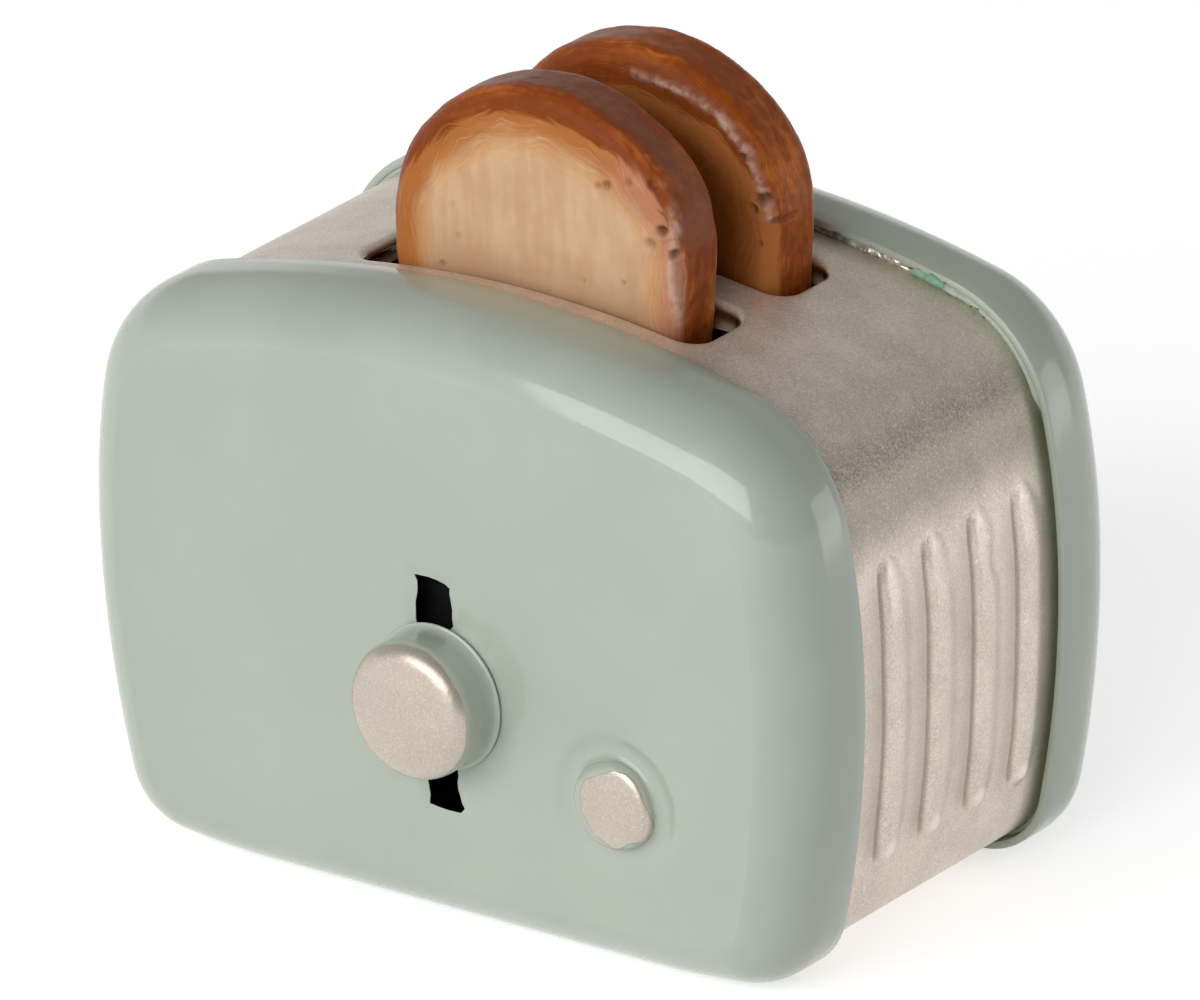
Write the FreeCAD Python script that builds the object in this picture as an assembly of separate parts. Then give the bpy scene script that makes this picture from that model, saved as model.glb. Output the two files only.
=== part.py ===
import FreeCAD, Part
import math
import os
from FreeCAD import Vector

os.makedirs("parts", exist_ok=True)

# A doll's-house toaster in pressed tinplate. Two pillow-edged end covers close a silver
# wrap with two toast slots. A knob in the front cover slides a carriage up and down, and
# two loose slices of cast bread stand in cradles on that carriage.
# Millimetres. Z is up, the front faces -Y, and Z = 0 is the surface it stands on.
# X = 0 is the middle of the covers. Y = 0 is halfway from the knob's face to the back.

# ------------------------------------------------------------------ end covers
cover_width = 60.0
cover_height = 43.6
belly_height = 22.6            # where the sides are widest
side_radius_upper = 55.0       # side, from the belly up
side_radius_lower = 78.0       # side, from the belly down
crown_radius = 87.0            # top edge
top_corner_radius = 9.8
bottom_corner_radius = 5.8
foot_half_width = 16.0         # flat stretch of the bottom edge, to each side
bottom_rise_radius = 60.0      # bottom edge, from the flat stretch out to the corner
body_depth = 37.0              # front face to rear face
cover_depth = 7.4              # face to mouth of one cover
edge_radius = 5.0              # pillow edge between face and flange
cover_sheet = 0.6

# ------------------------------------------------------------------ silver wrap
wrap_setback = 0.95            # wrap below the covers' outline
wrap_sheet = 0.5
wrap_end_gap = 0.1             # wrap end to the start of the covers' pillow edge
bead_width = 1.4               # solder that joins a cover to the wrap
rib_count = 4                  # pressed ribs on each side
rib_pitch = 5.0
rib_width = 1.9
rib_height = 0.55
rib_bottom_height = 7.2
rib_length = 22.1
rib_edge_radius = 0.4
rib_shift = 0.8                # middle rib gap behind the middle of the body

# ------------------------------------------------------------------ toast slots
slot_centre_x = 0.55
slot_length = 27.9
slot_width = 5.9
slot_pitch = 9.7               # front slot to rear slot
slot_corner_radius = 1.6
lip_wall = 0.8                 # turned-down lip round each slot
lip_depth = 1.5
lip_edge_radius = 0.7

# ------------------------------------------------------------------ base plate and guide posts
base_sheet = 0.8
base_side_gap = 0.5            # plate to the sides of the flat underside
base_end_gap = 1.9             # plate to the ends of the wrap
base_rivet_margin_x = 1.5      # rivets to the plate's edges
base_rivet_margin_y = 2.0
window_margin_x = 1.6          # rivets to the opening in the wrap's underside
window_margin_y = 2.0
rivet_radius = 0.6
rivet_head_radius = 1.2
rivet_head_height = 0.35
post_radius = 0.8
post_spacing = 19.0
post_collar_radius = 1.5
post_collar_height = 0.8
post_spigot_radius = 0.6
post_head_radius = 1.1
post_head_height = 0.4
post_top_gap = 0.4             # post to the underside of the wrap

# ------------------------------------------------------------------ lever
lever_slot_bottom = 9.2
lever_slot_length = 16.2
lever_slot_width = 3.1
lever_slot_corner_radius = 0.4
stem_radius = 1.2
stem_end_gap = 0.2             # stem to the slot's end at each limit
stem_depth_in_knob = 3.0
stem_tail = 0.3                # stem beyond its nut
knob_radius = 4.65
knob_length = 4.3
knob_gap = 0.12                # knob to the front cover
knob_edge_radius = 1.1
knob_crown = 0.35              # rise of the domed face
washer_gap = 0.1               # slide washer to the inside of the front cover
slide_washer_radius = 3.6
slide_washer_thickness = 0.5
spring_washer_radius = 3.0
spring_washer_sheet = 0.25
spring_washer_height = 0.6
hole_clearance = 0.05          # screw and rivet holes
nut_across_flats = 4.0
nut_thickness = 1.6
bracket_sheet = 0.6
bracket_width = 8.0
bracket_tail = 4.2             # bracket below the stem
bracket_foot = 5.0             # overlap of the bracket under the tray

# ------------------------------------------------------------------ lift tray and cradles
tray_sheet = 0.6
tray_margin = 0.25             # tray beyond the cradles
cradle_sheet = 0.5
cradle_wall = 2.4              # wall above the cradle's floor
cradle_inner_length = 25.2
cradle_top_gap = 0.4           # cradle to the slot lips at the top of the travel
cradle_rivet_x = 4.2           # from the middle of the slots, to each side
bush_radius = 1.35
bush_flange_radius = 1.5
bush_flange_thickness = 0.4
bush_below = 1.6               # bush below the tray
bush_above = 1.3               # bush above the tray
bush_clearance = 0.05          # post to bush, on the radius

# ------------------------------------------------------------------ dial button
dial_x = 14.8
dial_height = 12.7
dial_radius = 3.15
dial_thickness = 1.25
dial_edge_radius = 0.6
dial_shank_radius = 1.0
dial_shank_length = 1.5        # shank behind the front cover
dish_radius = 4.7              # shallow pressing round the dial
dish_depth = 0.35
dish_slope = 0.5               # width of the sloping ring round the dish
push_nut_radius = 2.4
push_nut_thickness = 0.5

# ------------------------------------------------------------------ toast
toast_width = 24.0
toast_height = 25.9
toast_thickness = 5.2
toast_play = 0.15              # toast to each long wall of its cradle
toast_top_radius = 12.85
toast_top_shift = 0.45         # the arch leans to the right
toast_left_shoulder_radius = 10.6
toast_right_shoulder_radius = 8.2
toast_foot_radius = 2.0
toast_edge_radius = 1.4
front_toast_x = 1.1
front_toast_taper_left = 0.3   # side set in at the foot
front_toast_taper_right = 1.6
rear_toast_x = 1.65
rear_toast_taper_left = 0.4
rear_toast_taper_right = 0.9

# ------------------------------------------------------------------ cutting and finding faces
past = 1.0                     # how far a cutter runs past what it cuts
near = 0.01                    # edges this close to a place are taken to lie on it

# ------------------------------------------------------------------ places that follow
body_mid_y = (knob_gap + knob_length) / 2
front_face_y = body_mid_y - body_depth / 2
rear_face_y = body_mid_y + body_depth / 2
panel_inside_y = front_face_y + cover_sheet
wrap_half_length = body_depth / 2 - edge_radius - wrap_end_gap
wrap_inside_floor = wrap_setback + wrap_sheet

base_half_width = foot_half_width - base_side_gap
base_half_depth = wrap_half_length - base_end_gap
base_rivet_x = base_half_width - base_rivet_margin_x
base_rivet_y = base_half_depth - base_rivet_margin_y
window_half_width = base_rivet_x - window_margin_x
window_half_depth = base_rivet_y - window_margin_y

front_slot_y = body_mid_y - slot_pitch / 2
rear_slot_y = body_mid_y + slot_pitch / 2
post_xs = (slot_centre_x - post_spacing / 2, slot_centre_x + post_spacing / 2)

lever_height = lever_slot_bottom + lever_slot_length / 2
lever_travel = lever_slot_length / 2 - stem_radius - stem_end_gap


def crown_height(x, setback):
    """Height of the top edge at x, that far inside the covers' outline."""
    radius = crown_radius - setback
    return cover_height - crown_radius + math.sqrt(radius ** 2 - x ** 2)


slot_far_end_x = abs(slot_centre_x) + slot_length / 2
lip_bottom = crown_height(slot_far_end_x, wrap_setback) - lip_depth
cradle_top = lip_bottom - lever_travel - cradle_top_gap
cradle_floor = cradle_top - cradle_wall
tray_top = cradle_floor - cradle_sheet
tray_bottom = tray_top - tray_sheet
cradle_inner_width = toast_thickness + 2 * toast_play
cradle_outer_width = cradle_inner_width + 2 * cradle_sheet
cradle_outer_length = cradle_inner_length + 2 * cradle_sheet

slide_washer_y = panel_inside_y + washer_gap
spring_washer_y = slide_washer_y + slide_washer_thickness
bracket_y = spring_washer_y + spring_washer_height
nut_y = bracket_y + bracket_sheet


# ------------------------------------------------------------------ shapes used by several pieces
def corner_centre(centre_a, radius_a, centre_b, radius_b, corner_radius):
    """Centre of the corner arc that runs tangent inside two larger arcs."""
    reach_a = radius_a - corner_radius
    reach_b = radius_b - corner_radius
    apart = centre_b - centre_a
    along = (reach_a ** 2 - reach_b ** 2 + apart.Length ** 2) / (2 * apart.Length)
    aside = math.sqrt(reach_a ** 2 - along ** 2)
    unit = apart * (1 / apart.Length)
    foot = centre_a + unit * along
    sideways = Vector(-unit.z, 0, unit.x) * aside
    return max(foot + sideways, foot - sideways, key=lambda point: point.x)


def angle_to(centre, point):
    return math.atan2(point.z - centre.z, point.x - centre.x)


def arc(centre, radius, start, end, y):
    """Arc in the plane at y, from angle start to angle end."""
    def point(angle):
        return Vector(centre.x + radius * math.cos(angle), y, centre.z + radius * math.sin(angle))
    return Part.Arc(point(start), point((start + end) / 2), point(end)).toShape()


def mirrored_arc(centre, radius, start, end, y):
    """The same arc on the other side of X = 0."""
    return arc(Vector(-centre.x, 0, centre.z), radius, math.pi - end, math.pi - start, y)


def outline(setback, y):
    """Closed outline of the end covers, that far inside their edge, in the plane at y."""
    crown = Vector(0, 0, cover_height - crown_radius)
    upper = Vector(cover_width / 2 - side_radius_upper, 0, belly_height)
    lower = Vector(cover_width / 2 - side_radius_lower, 0, belly_height)
    rise = Vector(foot_half_width, 0, bottom_rise_radius)
    top_corner = corner_centre(upper, side_radius_upper, crown, crown_radius, top_corner_radius)
    bottom_corner = corner_centre(lower, side_radius_lower, rise, bottom_rise_radius,
                                  bottom_corner_radius)
    crown_end = angle_to(crown, top_corner)
    upper_end = angle_to(upper, top_corner)
    lower_end = angle_to(lower, bottom_corner)
    rise_end = angle_to(rise, bottom_corner)
    side_arcs = [
        (top_corner, top_corner_radius, crown_end, upper_end),
        (upper, side_radius_upper, upper_end, 0.0),
        (lower, side_radius_lower, 0.0, lower_end),
        (bottom_corner, bottom_corner_radius, lower_end, rise_end),
        (rise, bottom_rise_radius, rise_end, -math.pi / 2),
    ]
    edges = [arc(crown, crown_radius - setback, math.pi - crown_end, crown_end, y)]
    for centre, radius, start, end in side_arcs:
        edges.append(arc(centre, radius - setback, start, end, y))
    edges.append(Part.LineSegment(Vector(foot_half_width, y, setback),
                                  Vector(-foot_half_width, y, setback)).toShape())
    for centre, radius, start, end in reversed(side_arcs):
        edges.append(mirrored_arc(centre, radius - setback, start, end, y))
    return Part.Wire(edges)


def outline_block(setback, y_from, y_to):
    return Part.Face(outline(setback, y_from)).extrude(Vector(0, y_to - y_from, 0))


def outline_ring(outer_setback, inner_setback, y_from, y_to):
    return outline_block(outer_setback, y_from, y_to).cut(outline_block(inner_setback, y_from, y_to))


def box(x_from, x_to, y_from, y_to, z_from, z_to):
    return Part.makeBox(x_to - x_from, y_to - y_from, z_to - z_from, Vector(x_from, y_from, z_from))


def rounded_block(centre_x, centre_y, length, width, corner_radius, z_from, z_to):
    """Upright block with a rounded rectangle as its plan."""
    block = box(centre_x - length / 2, centre_x + length / 2,
                centre_y - width / 2, centre_y + width / 2, z_from, z_to)
    corners = [edge for edge in block.Edges if edge.BoundBox.ZLength > z_to - z_from - near]
    return block.makeFillet(corner_radius, corners)


def along_y(radius, x, z, y_from, y_to):
    return Part.makeCylinder(radius, y_to - y_from, Vector(x, y_from, z), Vector(0, 1, 0))


def upright(radius, x, y, z_from, z_to):
    return Part.makeCylinder(radius, z_to - z_from, Vector(x, y, z_from), Vector(0, 0, 1))


def edges_at_y(shape, y):
    """Edges that lie in the plane at y."""
    return [edge for edge in shape.Edges
            if abs(edge.BoundBox.YMin - y) < near and abs(edge.BoundBox.YMax - y) < near]


def write(name, shape):
    solid = shape.removeSplitter()
    if not solid.isValid():
        raise ValueError(name + " is not a valid solid")
    solid.exportStep("parts/" + name + ".step")


# ------------------------------------------------------------------ end covers
def cover_shell(face_y, inward):
    """Pressed pan: flat face, pillow edge and straight flange, open towards the wrap."""
    mouth_y = face_y + inward * cover_depth
    outside = outline_block(0, face_y, mouth_y)
    outside = outside.makeFillet(edge_radius, edges_at_y(outside, face_y))
    inside_y = face_y + inward * cover_sheet
    inside = outline_block(cover_sheet, inside_y, mouth_y)
    inside = inside.makeFillet(edge_radius - cover_sheet, edges_at_y(inside, inside_y))
    return outside.cut(inside)


def dial_pressing(radius, y):
    """Shallow tapered disc behind the plane at y, round the dial's axis."""
    return Part.makeCone(radius, radius - dish_slope, dish_depth,
                         Vector(dial_x, y, dial_height), Vector(0, 1, 0))


def front_cover():
    """Front pan, with the lever slot and the dished seat of the dial."""
    shell = cover_shell(front_face_y, 1)
    dish = dial_pressing(dish_radius, front_face_y)
    backing = dial_pressing(dish_radius + cover_sheet, panel_inside_y)
    slot = box(slot_centre_x - lever_slot_width / 2, slot_centre_x + lever_slot_width / 2,
               front_face_y - past, panel_inside_y + past,
               lever_slot_bottom, lever_slot_bottom + lever_slot_length)
    corners = [edge for edge in slot.Edges if edge.BoundBox.YLength > cover_sheet + past]
    slot = slot.makeFillet(lever_slot_corner_radius, corners)
    shank_hole = along_y(dial_shank_radius, dial_x, dial_height,
                         front_face_y - past, panel_inside_y + dish_depth + past)
    return shell.fuse(backing).cut(dish).cut(slot).cut(shank_hole)


def rear_cover():
    return cover_shell(rear_face_y, -1)


# ------------------------------------------------------------------ silver wrap
def rib(y, side):
    """One pressed rib on the side wall, solid; side is 1 for +X and -1 for -X."""
    straight = rib_length - rib_width
    low = rib_bottom_height + rib_width / 2
    stadium = box(0, cover_width, y - rib_width / 2, y + rib_width / 2, low, low + straight)
    for z in (low, low + straight):
        stadium = stadium.fuse(Part.makeCylinder(rib_width / 2, cover_width, Vector(0, y, z),
                                                 Vector(1, 0, 0)))
    skin = outline_ring(wrap_setback - rib_height, wrap_setback + wrap_sheet / 2,
                        y - rib_width, y + rib_width)
    bar = skin.common(stadium.removeSplitter())
    crest = cover_width / 2 - (wrap_setback - rib_height)
    crest_edges = []
    for edge in bar.Edges:
        middle = edge.valueAt((edge.FirstParameter + edge.LastParameter) / 2)
        on_crest = abs(middle.x - side_surface_x(middle.z, crest)) < near
        across_crest = abs(middle.z - belly_height) < near
        if on_crest and not across_crest:
            crest_edges.append(edge)
    bar = bar.makeFillet(rib_edge_radius, crest_edges)
    if side < 0:
        bar = bar.mirror(Vector(0, 0, 0), Vector(1, 0, 0))
    return bar


def side_surface_x(z, belly_x):
    """X of the side surface at height z, where it is belly_x wide at the belly."""
    setback = cover_width / 2 - belly_x
    turn = side_radius_upper if z > belly_height else side_radius_lower
    return cover_width / 2 - turn + math.sqrt((turn - setback) ** 2 - (z - belly_height) ** 2)


def body_wrap():
    """Sheet wrap: crown, sides with pressed ribs, and underside with a service window."""
    y_from = body_mid_y - wrap_half_length
    y_to = body_mid_y + wrap_half_length
    wrap = outline_ring(wrap_setback, wrap_inside_floor, y_from, y_to)
    under_crown = outline_block(wrap_setback, y_from, y_to)
    for y in (front_slot_y, rear_slot_y):
        lip = rounded_block(slot_centre_x, y, slot_length + 2 * lip_wall, slot_width + 2 * lip_wall,
                            slot_corner_radius + lip_wall, lip_bottom, cover_height)
        wrap = wrap.fuse(lip.common(under_crown))
    for y in (front_slot_y, rear_slot_y):
        wrap = wrap.cut(rounded_block(slot_centre_x, y, slot_length, slot_width,
                                      slot_corner_radius, lip_bottom - past, cover_height + past))
    rims = []
    for edge in wrap.Edges:
        middle = edge.valueAt((edge.FirstParameter + edge.LastParameter) / 2)
        on_crown = abs(middle.z - crown_height(middle.x, wrap_setback)) < near
        in_slot_zone = abs(middle.x - slot_centre_x) < slot_length / 2 + near
        inside_ends = y_from + near < middle.y < y_to - near
        if on_crown and in_slot_zone and inside_ends:
            rims.append(edge)
    wrap = wrap.makeFillet(lip_edge_radius, rims)
    first_rib = body_mid_y + rib_shift - rib_pitch * (rib_count - 1) / 2
    for index in range(rib_count):
        for side in (1, -1):
            wrap = wrap.fuse(rib(first_rib + index * rib_pitch, side))
    window = box(-window_half_width, window_half_width,
                 body_mid_y - window_half_depth, body_mid_y + window_half_depth,
                 0, wrap_inside_floor + past)
    wrap = wrap.cut(window)
    for x, y in base_rivet_places():
        wrap = wrap.cut(upright(rivet_radius, x, y, 0, wrap_inside_floor + past))
    return wrap


def solder_bead(face_y, inward):
    """Bead that fills the gap between a cover's flange and the wrap, set in from the mouth."""
    wrap_end_y = face_y + inward * (edge_radius + wrap_end_gap)
    ends = sorted((wrap_end_y, wrap_end_y + inward * bead_width))
    return outline_ring(cover_sheet, wrap_setback, ends[0], ends[1])


# ------------------------------------------------------------------ base plate and guide posts
def base_rivet_places():
    return [(x, body_mid_y + y) for x in (-base_rivet_x, base_rivet_x)
            for y in (-base_rivet_y, base_rivet_y)]


def base_plate():
    """Stiffening plate inside the wrap's underside, which carries the guide posts."""
    plate = box(-base_half_width, base_half_width,
                body_mid_y - base_half_depth, body_mid_y + base_half_depth,
                wrap_inside_floor, wrap_inside_floor + base_sheet)
    for x, y in base_rivet_places():
        plate = plate.cut(upright(rivet_radius, x, y, 0, wrap_inside_floor + base_sheet + past))
    for x in post_xs:
        plate = plate.cut(upright(post_spigot_radius, x, body_mid_y, 0,
                                  wrap_inside_floor + base_sheet + past))
    return plate


def rivet(x, y, low, high):
    """Rivet through a stack of sheet from low to high, with a head at each end."""
    shank = upright(rivet_radius, x, y, low, high)
    foot = upright(rivet_head_radius, x, y, low - rivet_head_height, low)
    head = upright(rivet_head_radius, x, y, high, high + rivet_head_height)
    return shank.fuse(foot).fuse(head)


def base_rivets():
    return Part.makeCompound([
        rivet(x, y, wrap_setback, wrap_inside_floor + base_sheet).removeSplitter()
        for x, y in base_rivet_places()])


def guide_post(x):
    """Turned post, riveted into the base plate, that a tray bush slides on."""
    plate_top = wrap_inside_floor + base_sheet
    under_crown = crown_height(abs(x) + post_radius, wrap_inside_floor)
    post = upright(post_radius, x, body_mid_y, plate_top, under_crown - post_top_gap)
    post = post.fuse(upright(post_collar_radius, x, body_mid_y, plate_top,
                             plate_top + post_collar_height))
    post = post.fuse(upright(post_spigot_radius, x, body_mid_y, wrap_inside_floor, plate_top))
    return post.fuse(upright(post_head_radius, x, body_mid_y,
                             wrap_inside_floor - post_head_height, wrap_inside_floor))


# ------------------------------------------------------------------ lever
def lever_knob():
    """Turned knob with a rounded rim, a slightly domed face and a blind hole for the stem."""
    back_y = front_face_y - knob_gap
    rim_y = back_y - knob_length + knob_crown
    dome_radius = (knob_radius ** 2 + knob_crown ** 2) / (2 * knob_crown)
    dome_centre_y = rim_y - knob_crown + dome_radius
    dome = Part.makeSphere(dome_radius, Vector(slot_centre_x, dome_centre_y, lever_height))
    barrel = along_y(knob_radius, slot_centre_x, lever_height, rim_y, back_y)
    envelope = along_y(knob_radius, slot_centre_x, lever_height, rim_y - knob_crown, back_y)
    knob = envelope.common(dome.fuse(barrel)).removeSplitter()
    rim = [edge for edge in edges_at_y(knob, rim_y) if edge.Length > knob_radius]
    knob = knob.makeFillet(knob_edge_radius, rim)
    return knob.cut(along_y(stem_radius, slot_centre_x, lever_height,
                            back_y - stem_depth_in_knob, back_y))


def lever_stem():
    """Screwed stem from the knob through the slot, washers, bracket and nut."""
    return along_y(stem_radius, slot_centre_x, lever_height,
                   front_face_y - knob_gap - stem_depth_in_knob, nut_y + nut_thickness + stem_tail)


def slide_washer():
    """Nylon washer that runs on the inside of the front cover."""
    disc = along_y(slide_washer_radius, slot_centre_x, lever_height,
                   slide_washer_y, slide_washer_y + slide_washer_thickness)
    return disc.cut(along_y(stem_radius + hole_clearance, slot_centre_x, lever_height,
                            slide_washer_y - past,
                            slide_washer_y + slide_washer_thickness + past))


def spring_washer():
    """Coned spring washer whose push gives the lever its friction."""
    inner = stem_radius + hole_clearance
    rim_y = spring_washer_y
    tip_y = spring_washer_y + spring_washer_height
    profile = Part.makePolygon([
        Vector(spring_washer_radius, rim_y, 0),
        Vector(spring_washer_radius, rim_y + spring_washer_sheet, 0),
        Vector(inner, tip_y, 0),
        Vector(inner, tip_y - spring_washer_sheet, 0),
        Vector(spring_washer_radius, rim_y, 0)])
    cone = Part.Face(profile).revolve(Vector(0, 0, 0), Vector(0, 1, 0), 360)
    cone.translate(Vector(slot_centre_x, 0, lever_height))
    return cone


def stem_nut():
    corner = nut_across_flats / math.sqrt(3)
    points = [Vector(slot_centre_x + corner * math.cos(math.radians(60 * turn)), nut_y,
                     lever_height + corner * math.sin(math.radians(60 * turn)))
              for turn in range(6)]
    nut = Part.Face(Part.makePolygon(points + points[:1])).extrude(Vector(0, nut_thickness, 0))
    return nut.cut(along_y(stem_radius, slot_centre_x, lever_height, nut_y - past,
                           nut_y + nut_thickness + past))


def tray_front_y():
    return front_slot_y - cradle_outer_width / 2 - bracket_foot


def bracket_rivet_places():
    y = tray_front_y() + bracket_foot / 2
    return [(slot_centre_x + offset, y) for offset in (-bracket_width / 4, bracket_width / 4)]


def lever_bracket():
    """Angle bracket: a leg behind the front cover and a foot under the tray."""
    left = slot_centre_x - bracket_width / 2
    right = slot_centre_x + bracket_width / 2
    leg = box(left, right, bracket_y, bracket_y + bracket_sheet,
              lever_height - bracket_tail, tray_bottom)
    foot = box(left, right, bracket_y, tray_front_y() + bracket_foot,
               tray_bottom - bracket_sheet, tray_bottom)
    bracket = leg.fuse(foot)
    bracket = bracket.cut(along_y(stem_radius + hole_clearance, slot_centre_x, lever_height,
                                  bracket_y - past, bracket_y + bracket_sheet + past))
    for x, y in bracket_rivet_places():
        bracket = bracket.cut(upright(rivet_radius, x, y, tray_bottom - bracket_sheet - past,
                                      tray_bottom + past))
    return bracket


def bracket_rivets():
    return Part.makeCompound([
        rivet(x, y, tray_bottom - bracket_sheet, tray_top).removeSplitter()
        for x, y in bracket_rivet_places()])


# ------------------------------------------------------------------ lift tray and cradles
def cradle_rivet_places():
    return [(slot_centre_x + offset, y) for offset in (-cradle_rivet_x, cradle_rivet_x)
            for y in (front_slot_y, rear_slot_y)]


def lift_tray():
    """Flat tray that carries both cradles and runs on the guide posts."""
    half_length = cradle_outer_length / 2 + tray_margin
    tray = box(slot_centre_x - half_length, slot_centre_x + half_length, tray_front_y(),
               rear_slot_y + cradle_outer_width / 2 + tray_margin, tray_bottom, tray_top)
    holes = [(x, y, rivet_radius) for x, y in cradle_rivet_places() + bracket_rivet_places()]
    holes += [(x, body_mid_y, bush_radius) for x in post_xs]
    for x, y, radius in holes:
        tray = tray.cut(upright(radius, x, y, tray_bottom - past, tray_top + past))
    return tray


def tray_bush(x):
    """Flanged brass bush, pressed into the tray."""
    bush = upright(bush_radius, x, body_mid_y, tray_bottom - bush_below, tray_top + bush_above)
    bush = bush.fuse(upright(bush_flange_radius, x, body_mid_y,
                             tray_bottom - bush_flange_thickness, tray_bottom))
    return bush.cut(upright(post_radius + bush_clearance, x, body_mid_y,
                            tray_bottom - bush_below - past, tray_top + bush_above + past))


def toast_cradle(slot_y):
    """Open-topped tinplate cradle that holds the foot of one slice."""
    outside = box(slot_centre_x - cradle_outer_length / 2, slot_centre_x + cradle_outer_length / 2,
                  slot_y - cradle_outer_width / 2, slot_y + cradle_outer_width / 2,
                  tray_top, cradle_top)
    inside = box(slot_centre_x - cradle_inner_length / 2, slot_centre_x + cradle_inner_length / 2,
                 slot_y - cradle_inner_width / 2, slot_y + cradle_inner_width / 2,
                 cradle_floor, cradle_top + past)
    cradle = outside.cut(inside)
    for x, y in cradle_rivet_places():
        if y == slot_y:
            cradle = cradle.cut(upright(rivet_radius, x, y, tray_top - past, cradle_floor + past))
    return cradle


def cradle_rivets():
    """Rivets with a head under the tray, set flush in the cradle floors."""
    rivets = []
    for x, y in cradle_rivet_places():
        shank = upright(rivet_radius, x, y, tray_bottom, cradle_floor)
        head = upright(rivet_head_radius, x, y, tray_bottom - rivet_head_height, tray_bottom)
        rivets.append(shank.fuse(head).removeSplitter())
    return Part.makeCompound(rivets)


# ------------------------------------------------------------------ dial button
def dial_button():
    """Fixed button: a thick disc in the dished seat, with a shank through the cover."""
    seat_y = front_face_y + dish_depth
    disc = along_y(dial_radius, dial_x, dial_height, seat_y - dial_thickness, seat_y)
    disc = disc.makeFillet(dial_edge_radius, edges_at_y(disc, seat_y - dial_thickness))
    shank_end = panel_inside_y + dish_depth + dial_shank_length
    return disc.fuse(along_y(dial_shank_radius, dial_x, dial_height, seat_y, shank_end))


def dial_push_nut():
    """Push nut that holds the dial's shank behind the front cover."""
    seat_y = panel_inside_y + dish_depth
    ring = along_y(push_nut_radius, dial_x, dial_height, seat_y, seat_y + push_nut_thickness)
    return ring.cut(along_y(dial_shank_radius, dial_x, dial_height, seat_y - past,
                            seat_y + push_nut_thickness + past))


# ------------------------------------------------------------------ toast
def tangent_angle(centre, radius, point, turn):
    """Angle on the circle where a line from the point touches it; turn picks the side."""
    distance = math.hypot(point.x - centre.x, point.z - centre.z)
    return angle_to(centre, point) + turn * math.acos(radius / distance)


def shoulder(top_centre, side_x, radius, turn):
    """Centre of the arc that joins the arched top to the side at side_x; turn is 1 on the right."""
    centre_x = side_x - turn * radius
    drop = math.sqrt((toast_top_radius - radius) ** 2 - (centre_x - top_centre.x) ** 2)
    return Vector(centre_x, 0, top_centre.z + drop)


def toast_slice(centre_x, slot_y, taper_left, taper_right):
    """Cast slice of bread: arched top, shoulders, and sides that draw in to the foot."""
    front_y = slot_y - toast_thickness / 2
    half = toast_width / 2
    top_z = cradle_floor + toast_height
    top_centre = Vector(centre_x + toast_top_shift, 0, top_z - toast_top_radius)
    right_shoulder = shoulder(top_centre, centre_x + half, toast_right_shoulder_radius, 1)
    left_shoulder = shoulder(top_centre, centre_x - half, toast_left_shoulder_radius, -1)
    right_foot = Vector(centre_x + half - taper_right, front_y, cradle_floor)
    left_foot = Vector(centre_x - half + taper_left, front_y, cradle_floor)
    top_right = angle_to(top_centre, right_shoulder)
    top_left = angle_to(top_centre, left_shoulder)
    side_right = tangent_angle(right_shoulder, toast_right_shoulder_radius, right_foot, 1)
    side_left = tangent_angle(left_shoulder, toast_left_shoulder_radius, left_foot, -1)
    if side_left < 0:
        side_left += 2 * math.pi
    right_arc = arc(right_shoulder, toast_right_shoulder_radius, side_right, top_right, front_y)
    top_arc = arc(top_centre, toast_top_radius, top_right, top_left, front_y)
    left_arc = arc(left_shoulder, toast_left_shoulder_radius, top_left, side_left, front_y)
    right_side = Part.LineSegment(right_foot, right_arc.Vertexes[0].Point).toShape()
    left_side = Part.LineSegment(left_arc.Vertexes[-1].Point, left_foot).toShape()
    foot = Part.LineSegment(left_foot, right_foot).toShape()
    face = Part.Face(Part.Wire([right_side, right_arc, top_arc, left_arc, left_side, foot]))
    slice_block = face.extrude(Vector(0, toast_thickness, 0))
    feet = [edge for edge in slice_block.Edges if edge.BoundBox.ZMax < cradle_floor + near
            and edge.BoundBox.YLength > toast_thickness - near]
    slice_block = slice_block.makeFillet(toast_foot_radius, feet)
    rims = edges_at_y(slice_block, front_y) + edges_at_y(slice_block, front_y + toast_thickness)
    return slice_block.makeFillet(toast_edge_radius, rims)


# ------------------------------------------------------------------ write every piece
write("front_cover", front_cover())
write("rear_cover", rear_cover())
write("body_wrap", body_wrap())
write("solder_bead_front", solder_bead(front_face_y, 1))
write("solder_bead_rear", solder_bead(rear_face_y, -1))
write("base_plate", base_plate())
write("base_rivets", base_rivets())
write("guide_post_left", guide_post(post_xs[0]))
write("guide_post_right", guide_post(post_xs[1]))
write("lever_knob", lever_knob())
write("lever_stem", lever_stem())
write("slide_washer", slide_washer())
write("spring_washer", spring_washer())
write("stem_nut", stem_nut())
write("lever_bracket", lever_bracket())
write("bracket_rivets", bracket_rivets())
write("lift_tray", lift_tray())
write("tray_bush_left", tray_bush(post_xs[0]))
write("tray_bush_right", tray_bush(post_xs[1]))
write("toast_cradle_front", toast_cradle(front_slot_y))
write("toast_cradle_rear", toast_cradle(rear_slot_y))
write("cradle_rivets", cradle_rivets())
write("dial_button", dial_button())
write("dial_push_nut", dial_push_nut())
write("toast_front", toast_slice(front_toast_x, front_slot_y,
                                 front_toast_taper_left, front_toast_taper_right))
write("toast_rear", toast_slice(rear_toast_x, rear_slot_y,
                                rear_toast_taper_left, rear_toast_taper_right))
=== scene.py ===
import math

import bpy
from mathutils import Matrix, Vector, noise
from mathutils.geometry import convex_hull_2d
from mathutils.kdtree import KDTree


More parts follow.
